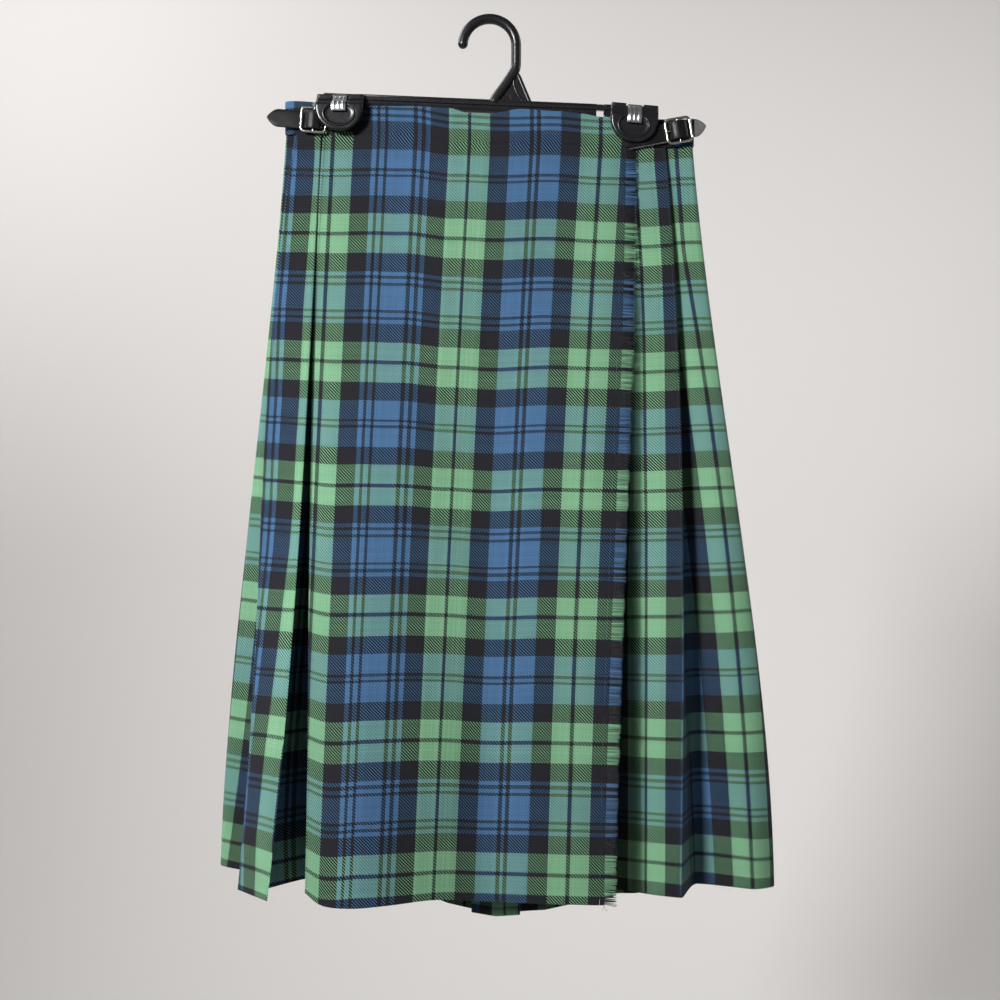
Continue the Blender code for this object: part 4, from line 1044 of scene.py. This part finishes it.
def curve(points, parts):
    """Smooth run through points."""
    p = np.asarray(points, float)
    ends = np.concatenate([[2 * p[0] - p[1]], p, [2 * p[-1] - p[-2]]])
    s = (np.arange(parts) / parts)[:, None]
    blocks = []
    for a, b, c, d in zip(ends, ends[1:], ends[2:], ends[3:]):
        blocks.append(0.5 * (2 * b + (c - a) * s + (2 * a - 5 * b + 4 * c - d) * s ** 2
                             + (3 * b - a - 3 * c + d) * s ** 3))
    return np.concatenate([*blocks, p[-1:]])


def upright_curve(points, parts):
    """Smooth run through (x, z) places in the plane of the hanger."""
    return curve([(x, 0.0, z) for x, z in points], parts)


def loft(rings, closed=False):
    """Vertices and faces of a skin over rings, capped unless it closes on itself."""
    rings = np.asarray(rings)
    count, sides = rings.shape[:2]
    number = np.arange(count * sides).reshape(count, sides)
    below = np.roll(number, -1, axis=0)
    if not closed:
        number, below = number[:-1], below[:-1]
    faces = np.stack([number, np.roll(number, -1, axis=1), np.roll(below, -1, axis=1), below],
                     axis=-1).reshape(-1, 4).tolist()
    if not closed:
        faces += [list(range(sides))[::-1], list(range((count - 1) * sides, count * sides))]
    return rings.reshape(-1, 3), faces


def slab(front, back):
    """Vertices and faces of a solid between two grids of points."""
    size = front.shape[0] * front.shape[1]
    number = np.arange(size).reshape(front.shape[:2])
    face = np.stack([number[:-1, 1:], number[1:, 1:], number[1:, :-1], number[:-1, :-1]],
                    axis=-1).reshape(-1, 4)
    edge = np.concatenate([number[0], number[1:, -1], number[-1, -2::-1], number[-2:0:-1, 0]])
    beside = np.roll(edge, -1)
    rim = np.stack([edge, edge + size, beside + size, beside], axis=-1)
    faces = np.concatenate([face, face[:, ::-1] + size, rim]).tolist()
    return np.concatenate([front.reshape(-1, 3), back.reshape(-1, 3)]), faces


def rod(path, radius, sides=16, closed=False, depth=1.0):
    """Round rod along a path that lies near the XZ plane."""
    path = np.asarray(path, float)
    if closed:
        ahead = np.roll(path, -1, axis=0) - np.roll(path, 1, axis=0)
    else:
        ahead = np.gradient(path, axis=0)
    ahead /= np.linalg.norm(ahead, axis=1, keepdims=True)
    side = np.cross(ahead, (0.0, 1.0, 0.0))
    side /= np.linalg.norm(side, axis=1, keepdims=True)
    up = np.cross(side, ahead) * depth
    angle = (np.arange(sides) * 2 * math.pi / sides)[None, :, None]
    radius = np.broadcast_to(radius, (len(path),))[:, None, None]
    rings = path[:, None] + radius * (np.cos(angle) * side[:, None] + np.sin(angle) * up[:, None])
    return loft(rings, closed)


def solid(name, parts, material, slot, nodes=(), sharp=38.0):
    """One piece made of several closed skins."""
    vertices = np.concatenate([v for v, _ in parts])
    faces = []
    start = 0
    for v, f in parts:
        faces += [[k + start for k in face] for face in f]
        start += len(v)
    made = piece(name, vertices, faces, material, sharp)
    bm = bmesh.new()
    bm.from_mesh(made.data)
    bmesh.ops.recalc_face_normals(bm, faces=bm.faces)
    bm.to_mesh(made.data)
    bm.free()
    return ridden(made, slot, *nodes)


def placed(parts, at, way=1):
    """Skins of a buckle or clip turned and moved to its place, mirrored first where way is -1."""
    return [(tilted(v * (way, 1.0, 1.0), at.tilt, at.x, at.z), f) for v, f in parts]


def hanger(material):
    """Bar of I section with thin square ends, hook and ribbed neck, all one moulding."""
    half, web, lip, low, soft = 3.0, 1.2, 1.8, -12.0, 0.45
    quarter = [(half - soft, 0.0), (half - 0.13, -0.13), (half, -soft), (half, -lip + 0.2),
               (half - 0.3, -lip), (web + 0.5, -lip - 0.25), (web, -lip - 0.9)]
    right = quarter + [(y, low - z) for y, z in reversed(quarter)]
    section = right + [(-y, z) for y, z in reversed(right)]
    square = [(2.5, -0.7), (2.0, -0.2), (-2.0, -0.2), (-2.5, -0.7), (-2.5, -4.7), (-2.0, -5.2),
              (2.0, -5.2), (2.5, -4.7)]
    parts = []
    # outline, middle height, places along the bar, how far its ends are drawn in
    for outline, middle, xs, drawn in (
            (section, low / 2, (-113.0, -112.5, -60.0, 0.0, 60.0, 96.1, 96.5), 0.93),
            (section, low / 2, (103.0, 103.4, 109.5, 110.0), 0.93),
            (square, -2.7, (-149.0, -148.5, 144.5, 145.0), 0.8)):
        shares = (drawn, *[1.0] * (len(xs) - 2), drawn)
        rings = [[(x, y * s, middle + (z - middle) * s) for y, z in outline]
                 for x, s in zip(xs, shares)]
        parts.append(loft(tilted(rings, BAR_TILT, 0.0, BAR_TOP)))
    radius = HOOK_INNER + HOOK_WIRE
    hook = [(radius * math.cos(a), -HOOK_INNER + radius * math.sin(a))
            for a in np.radians(np.linspace(176.0, 0.0, 25))]
    hook += [(radius, -30.0), (radius - 0.3, -38.0), (radius - 2.0, -43.0), (15.0, -54.0),
             (5.5, -67.0), (4.0, -71.0)]
    path = upright_curve(hook, 4)
    back = (path[0] - path[1]) / np.linalg.norm(path[0] - path[1])
    angle = np.linspace(math.pi / 2, 0.0, 6)[:-1]
    tip = path[0] + back * HOOK_WIRE * np.sin(angle)[:, None]
    wire = [*(HOOK_WIRE * np.cos(angle) + 0.02), *[HOOK_WIRE] * len(path)]
    parts.append(rod(np.concatenate([tip, path]), wire, 28))
    neck = upright_curve([(21.0, -43.0), (25.6, -46.5), (29.0, -54.0), (36.0, -70.5)], 6)
    inner = upright_curve([(19.5, -47.5), (14.0, -56.5), (7.0, -66.0), (4.5, -70.8)], 6)
    bow = upright_curve([(21.5, -49.5), (22.0, -56.0), (25.0, -63.5), (29.5, -70.2)], 6)
    strut = upright_curve([(12.5, -58.6), (17.5, -63.0), (20.5, -69.8)], 6)
    web_rows = np.stack([inner, inner * 0.5 + neck * 0.5, neck], axis=1)
    sheet = np.array((0.0, 1.1, 0.0))
    parts.append(slab(web_rows + sheet, web_rows - sheet))
    parts += [rod(neck, 2.1, 16), rod(bow, 1.5, 12, depth=1.4), rod(strut, 1.1, 12, depth=1.5)]
    return solid("hanger_moulding", parts, material, "hanger_plastic", ("hanger",))


def jaw_depth(drop, grip):
    """Depth of the back of a jaw: close to the bar at its top, on the cloth lower down."""
    share = np.clip((drop - 4.0) / 9.0, 0.0, 1.0)
    top = TOP_DEPTH if grip > 0 else -TOP_DEPTH
    return top + (grip - top) * share * share * (3.0 - 2.0 * share)


def jaw(name, clip, grip, way, material, nodes):
    """Jaw with rounded edges, notched beside the spring; the front one has a rimmed dish."""
    drops = np.array((0.0, 0.25, 0.6, 1.2, 2.0, 3.0, 4.5, 6.0, 8.0, 10.0, 12.0, 13.0, 14.0, 15.0,
                      16.0, 17.0, 18.0, 19.5, 21.0, 22.5, 24.0, 25.5, 27.0, 28.5, 30.0, 31.5,
                      32.8, 33.8, 34.6, 35.2, 35.6, CLIP_HEIGHT))
    notch = (5.9, 6.5, 6.7, 7.9, 8.1, 8.7)
    base = np.array((0.0, 2.0, 4.0, *notch, 10.0, 12.0, 14.0, 16.0, 18.0, 19.6, 20.5, 21.1, 21.5))
    places = np.concatenate([-base[:0:-1], base])[None] / CLIP_HALF
    drop = drops[:, None]
    share = np.clip((drop - 11.0) / (CLIP_HEIGHT - 10.8), 0.0, 1.0)
    side = np.where(places < 0, (1.0 - share ** 2.6) ** 0.56, (1.0 - share ** 3.0) ** 0.50)
    flare = 1.0 - 0.03 * np.clip(1.0 - drop / 4.0, 0.0, 1.0)
    x = places * side * flare * CLIP_HALF
    edge = np.minimum((1.0 - np.abs(places)) * side * CLIP_HALF / 2.2, drop / 1.4)
    edge = np.clip(np.minimum(edge, (CLIP_HEIGHT - drop) / 2.0), 0.0, 1.0)
    thick = JAW * (0.35 + 0.65 * np.sqrt(1.0 - (1.0 - edge) ** 2))
    if way < 0:
        low = np.where(drop > DISH_MIDDLE, DISH_LOW, DISH_HIGH)
        within = np.hypot(x / DISH_HALF, (DISH_MIDDLE - drop) / low)
        thick = thick - 1.0 * np.clip((1.0 - within) / 0.12, 0.0, 1.0)
    dip = SADDLE * (np.abs(places) * CLIP_HALF < 8.0) * np.clip(1.0 - drop / 6.1, 0.0, 1.0)
    depth = jaw_depth(drop, grip)
    parts = [slab(stacked(x, depth, -drop - dip), stacked(x, depth + way * thick, -drop - dip))]
    if way < 0:
        angle = np.radians(np.linspace(54.0, -234.0, 73))
        low = np.where(np.sin(angle) < 0, DISH_LOW, DISH_HIGH)
        rim_z = -DISH_MIDDLE + low * np.sin(angle)
        rim = stacked(DISH_HALF * np.cos(angle), jaw_depth(-rim_z, grip) - JAW + 0.1, rim_z)
        taper = np.clip((73 / 2 - np.abs(np.arange(73) - 36)) / 5.0, 0.25, 1.0)
        parts.append(rod(rim, 1.15 * taper, 14))
    return solid(name, placed(parts, clip), material, "hanger_plastic", nodes)


def spring(clip, material):
    """Bent steel band over the jaws, pressed with upright ribs."""
    drops = np.array((19.5, 19.0, 18.0, 16.5, 15.0, 13.0, 11.5, 10.0, 8.5, 7.0, 5.5, 4.2, 3.0))
    lift = JAW + GAP + SPRING / 2 + 0.8
    flick = np.clip((drops - 18.2) / 1.3, 0.0, 1.0) * 0.5
    fore = stacked(jaw_depth(drops, clip.grip) - lift - flick, -drops)
    aft = stacked(jaw_depth(drops, BACK_GRIP) + lift + flick, -drops)[::-1]
    angle = np.linspace(0.0, math.pi, 11)[1:-1]
    y = fore[-1, 0] + (aft[0, 0] - fore[-1, 0]) * (1.0 - np.cos(angle)) / 2
    line = np.concatenate([fore, stacked(y, 2.6 * np.sin(angle) - 3.0), aft])
    along = np.gradient(line, axis=0)
    along /= np.linalg.norm(along, axis=1, keepdims=True)
    out = stacked(-along[:, 1], along[:, 0])
    across = np.linspace(-1.0, 1.0, 41)
    rib = 0.42 * np.clip(np.cos(across * math.pi * 3.2), 0.0, 1.0) * (np.abs(across) < 0.8)
    height = -line[:, 1]
    upright = np.clip((height - 4.0) / 1.5, 0.0, 1.0) * np.clip((17.5 - height) / 1.5, 0.0, 1.0)
    swell = rib[None] * upright[:, None] - 0.25 * np.abs(across[None]) ** 8
    grids = []
    for shift in (-SPRING / 2, SPRING / 2):
        yz = line[:, None] + out[:, None] * (shift + swell)[..., None]
        grids.append(stacked(across * SPRING_HALF, yz[..., 0], yz[..., 1]))
    return solid("clip_%s_band" % clip.name, placed([slab(*grids)], clip), material,
                 "clip_steel", ("clip_%s_spring" % clip.name,))


def frame_depth(buckle):
    return buckle.face - GAP - TAB - GAP - LEATHER - GAP - FRAME_WIRE


def ribbon(line, half_width, thickness, section):
    """Skin of a leather strip: a section of (height, depth) shares swept along (x, y) places."""
    line = np.array([(x, y, 0.0) for x, y in line])
    along = np.gradient(line, axis=0)
    along /= np.linalg.norm(along, axis=1, keepdims=True)
    out = stacked(along[:, 1], -along[:, 0], 0.0) * thickness
    up = stacked(0.0, 0.0, np.broadcast_to(half_width, len(line)))
    return loft(np.stack([line + out * depth + up * height for height, depth in section], axis=1))


def strap(buckle, material):
    """Leather strap with a pointed tip, bulging over the centre bar."""
    low = buckle.face - GAP - TAB - GAP - LEATHER / 2
    high = frame_depth(buckle) - BAR_WIRE - GAP - TAB - GAP - LEATHER / 2
    rise = low + (high - low) * 0.72
    knots = [(-buckle.root, low - 0.8), (-FRAME_SIDE - 8.0, low - 0.1), (-FRAME_SIDE - 1.0, low),
             (-FRAME_SIDE + 2.0, low - 0.2), (-FRAME_SIDE * 0.5, rise), (-1.6, high)]
    knots += [(-x, y) for x, y in knots[:0:-1]] + [(buckle.tip, low - 0.2)]
    line = curve(knots, 8)
    tip = line[-1] - np.array(((2.0, 0.0), (1.2, 0.0), (0.6, 0.0), (0.25, 0.0), (0.0, 0.0)))
    line = np.concatenate([line[line[:, 0] < buckle.tip - 2.2], tip])
    share = np.clip((buckle.tip - line[:, 0]) / 10.0, 0.0, 1.0)
    reach = LEATHER_WIDTH / 2 * (0.06 + 0.94 * np.sin(share * math.pi / 2) ** 0.85)
    skin = ribbon(line, reach, LEATHER, (
        (1.0, 0.18), (0.985, 0.42), (0.94, 0.5), (0.5, 0.52), (0.0, 0.52), (-0.5, 0.52),
        (-0.94, 0.5), (-0.985, 0.42), (-1.0, 0.18), (-1.0, -0.18), (-0.985, -0.42),
        (-0.94, -0.5), (0.0, -0.5), (0.94, -0.5), (0.985, -0.42), (1.0, -0.18)))
    name = "strap_" + buckle.name
    solid(name + "_leather", placed([skin], buckle, buckle.way), material, "strap_leather",
          (name,))


def buckle_pieces(buckle, material):
    """Rounded square frame with its centre bar, and the tongue."""
    depth = frame_depth(buckle)
    corner = 3.6
    half_z = FRAME_HEIGHT / 2 - FRAME_WIRE
    ring = []
    for quarter in range(4):
        sign_x = 1 if quarter in (0, 3) else -1
        sign_z = 1 if quarter in (0, 1) else -1
        for angle in np.radians(90.0 * quarter + np.linspace(0.0, 90.0, 10)):
            ring.append((sign_x * (FRAME_SIDE - corner) + corner * math.cos(angle), depth,
                         sign_z * (half_z - corner) + corner * math.sin(angle)))
    bar = [(0.0, depth, z) for z in np.linspace(-half_z, half_z, 9)]
    parts = [rod(ring, FRAME_WIRE, 18, closed=True, depth=0.86), rod(bar, BAR_WIRE, 16)]
    solid("buckle_%s_frame" % buckle.name, placed(parts, buckle), material, "buckle_nickel",
          ("buckle_" + buckle.name,))
    over = depth - FRAME_WIRE - GAP - PRONG_WIRE
    route = curve([(-4.0, depth + 0.2, 0.0), (-5.6, depth - 0.6, 0.0), (-8.0, over + 0.2, 0.0),
                   (-FRAME_SIDE, over, 0.0), (-FRAME_SIDE - 1.6, over + 0.5, 0.0)], 6)
    thick = PRONG_WIRE * np.interp(np.linspace(0, 1, len(route)), (0, 0.7, 1.0), (1.0, 0.95, 0.6))
    tongue = placed([rod(route, thick, 12)], buckle, buckle.way)
    solid("prong_%s_tongue" % buckle.name, tongue, material, "buckle_nickel",
          ("prong_" + buckle.name,))


def tab(buckle, material):
    """Leather tab round the centre bar, sewn down beside it."""
    radius = BAR_WIRE + GAP + TAB / 2
    low = buckle.face - GAP - TAB / 2
    line = [(17.0, low), (12.5, low), (8.0, low), (3.6, low - 1.4)]
    for angle in np.radians(np.linspace(75.0, 335.0, 25)):
        line.append((radius * math.cos(angle), frame_depth(buckle) + radius * math.sin(angle)))
    skin = ribbon(line, LEATHER_WIDTH / 2 - 0.6, TAB, (
        (1.0, 0.2), (0.97, 0.5), (0.0, 0.5), (-0.97, 0.5), (-1.0, 0.2), (-1.0, -0.2),
        (-0.97, -0.5), (0.0, -0.5), (0.97, -0.5), (1.0, -0.2)))
    name = "buckle_tab_" + buckle.name
    solid(name + "_leather", placed([skin], buckle, buckle.way), material, "strap_leather",
          (name,))


def fray(buckle, material):
    """Loose grey fibres along the lower edge of the strap beside the clip."""
    rng = np.random.default_rng(11)
    low = buckle.face - GAP - TAB - GAP - LEATHER / 2
    parts = []
    for x in rng.uniform(-buckle.root, -9.0, 150):
        start = np.array((x, low - 0.3 - rng.uniform(0.0, 0.4), -LEATHER_WIDTH / 2 + 0.3))
        way = np.array((rng.normal(0.5, 1.1), rng.normal(-0.1, 0.15), -rng.uniform(0.5, 1.7)))
        bend = np.array((rng.normal(0.0, 0.5), 0.0, rng.normal(0.0, 0.3)))
        s = np.linspace(0.0, 1.0, 4)[:, None]
        parts.append(rod(start + way * s + bend * s * (1.0 - s), (0.16, 0.15, 0.13, 0.05), 5))
    return solid("strap_%s_fray" % buckle.name, placed(parts, buckle, buckle.way), material,
                 "strap_leather", sharp=0)


def hardware():
    black = moulded("black_plastic", (0.0075, 0.0075, 0.009), 0.27)
    hide = leather("black_leather", 10.0)
    worn = leather("worn_leather", 0.1832)
    nickel = metal("worn_nickel", (0.82, 0.77, 0.69), 0.20, 0.22)
    steel = metal("galvanised_steel", (0.80, 0.82, 0.84), 0.32, 0.25)
    hanger(black)
    for clip in CLIPS:
        for end, grip, way in (("front", clip.grip, -1), ("back", BACK_GRIP, 1)):
            node = "clip_%s_%s" % (clip.name, end)
            jaw(node + "_jaw", clip, grip, way, black, (node,))
        spring(clip, steel)
    for buckle in BUCKLES:
        strap(buckle, worn if buckle.way > 0 else hide)
        buckle_pieces(buckle, nickel)
        tab(buckle, hide)
    fray(BUCKLES[0], fibre("grey_fibre", (0.10, 0.10, 0.10)))


# ------------------------------------------------------------ studio and camera
CAMERA = (0.00945, -1.2, -0.4284)
LENS = 48.0


def studio():
    """Seamless pale paper, soft light from the front and a level camera."""
    profile = [(-3.2, -1.75), (0.9, -1.75)]
    for angle in np.linspace(0.0, math.pi / 2, 25):
        profile.append((1.2 + 1.2 * math.sin(angle), -0.55 - 1.2 * math.cos(angle)))
    profile.append((2.4, 3.2))
    vertices = [(x / MM, y / MM, z / MM) for y, z in profile for x in (-4.5, 4.5)]
    faces = [(k, k + 1, k + 3, k + 2) for k in range(0, 2 * len(profile) - 2, 2)]
    white = paper("studio_paper", (0.80, 0.775, 0.755))
    backdrop = piece("studio_paper", vertices, faces, white, 0)
    skirt_middle = Vector((0.0, 0.0, -0.38))
    wall = Vector((0.0, 2.4, 0.1))
    scene = bpy.context.scene
    for name, place, aim, size, spread, power in (
            ("key", (-1.55, -2.25, 0.4), skirt_middle, 0.5, 60.0, 12.0),
            ("fill", (1.3, -2.4, -0.2), skirt_middle, 1.6, 180.0, 1.4),
            ("paper_left", (-1.5, 0.5, 1.1), wall, 1.2, 180.0, 45.0),
            ("paper_right", (1.6, 0.5, 0.5), wall, 1.2, 180.0, 15.0)):
        data = bpy.data.lights.new(name, "AREA")
        data.size = size
        data.spread = math.radians(spread)
        data.energy = power
        light = bpy.data.objects.new(name, data)
        light.location = place
        light.rotation_euler = (aim - Vector(place)).to_track_quat("-Z", "Y").to_euler()
        scene.collection.objects.link(light)
    scene.world = bpy.data.worlds.new("studio")
    scene.world.use_nodes = True
    room = scene.world.node_tree.nodes["Background"].inputs
    room["Color"].default_value = (1.0, 0.985, 0.97, 1.0)
    room["Strength"].default_value = 0.08
    scene.view_settings.view_transform = "Standard"
    camera = bpy.data.cameras.new("camera")
    camera.lens = LENS
    scene.camera = bpy.data.objects.new("camera", camera)
    scene.camera.location = CAMERA
    scene.camera.rotation_euler = (math.radians(90.0), 0.0, 0.0)
    scene.collection.objects.link(scene.camera)


def main():
    studio()
    woven = tartan("tartan_twill")
    loose = tartan("tartan_weft_yarn", loose=True)
    last = skirt(woven)
    bands = waistband(woven, last)
    fringe(woven, loose, last)
    hardware()


main()
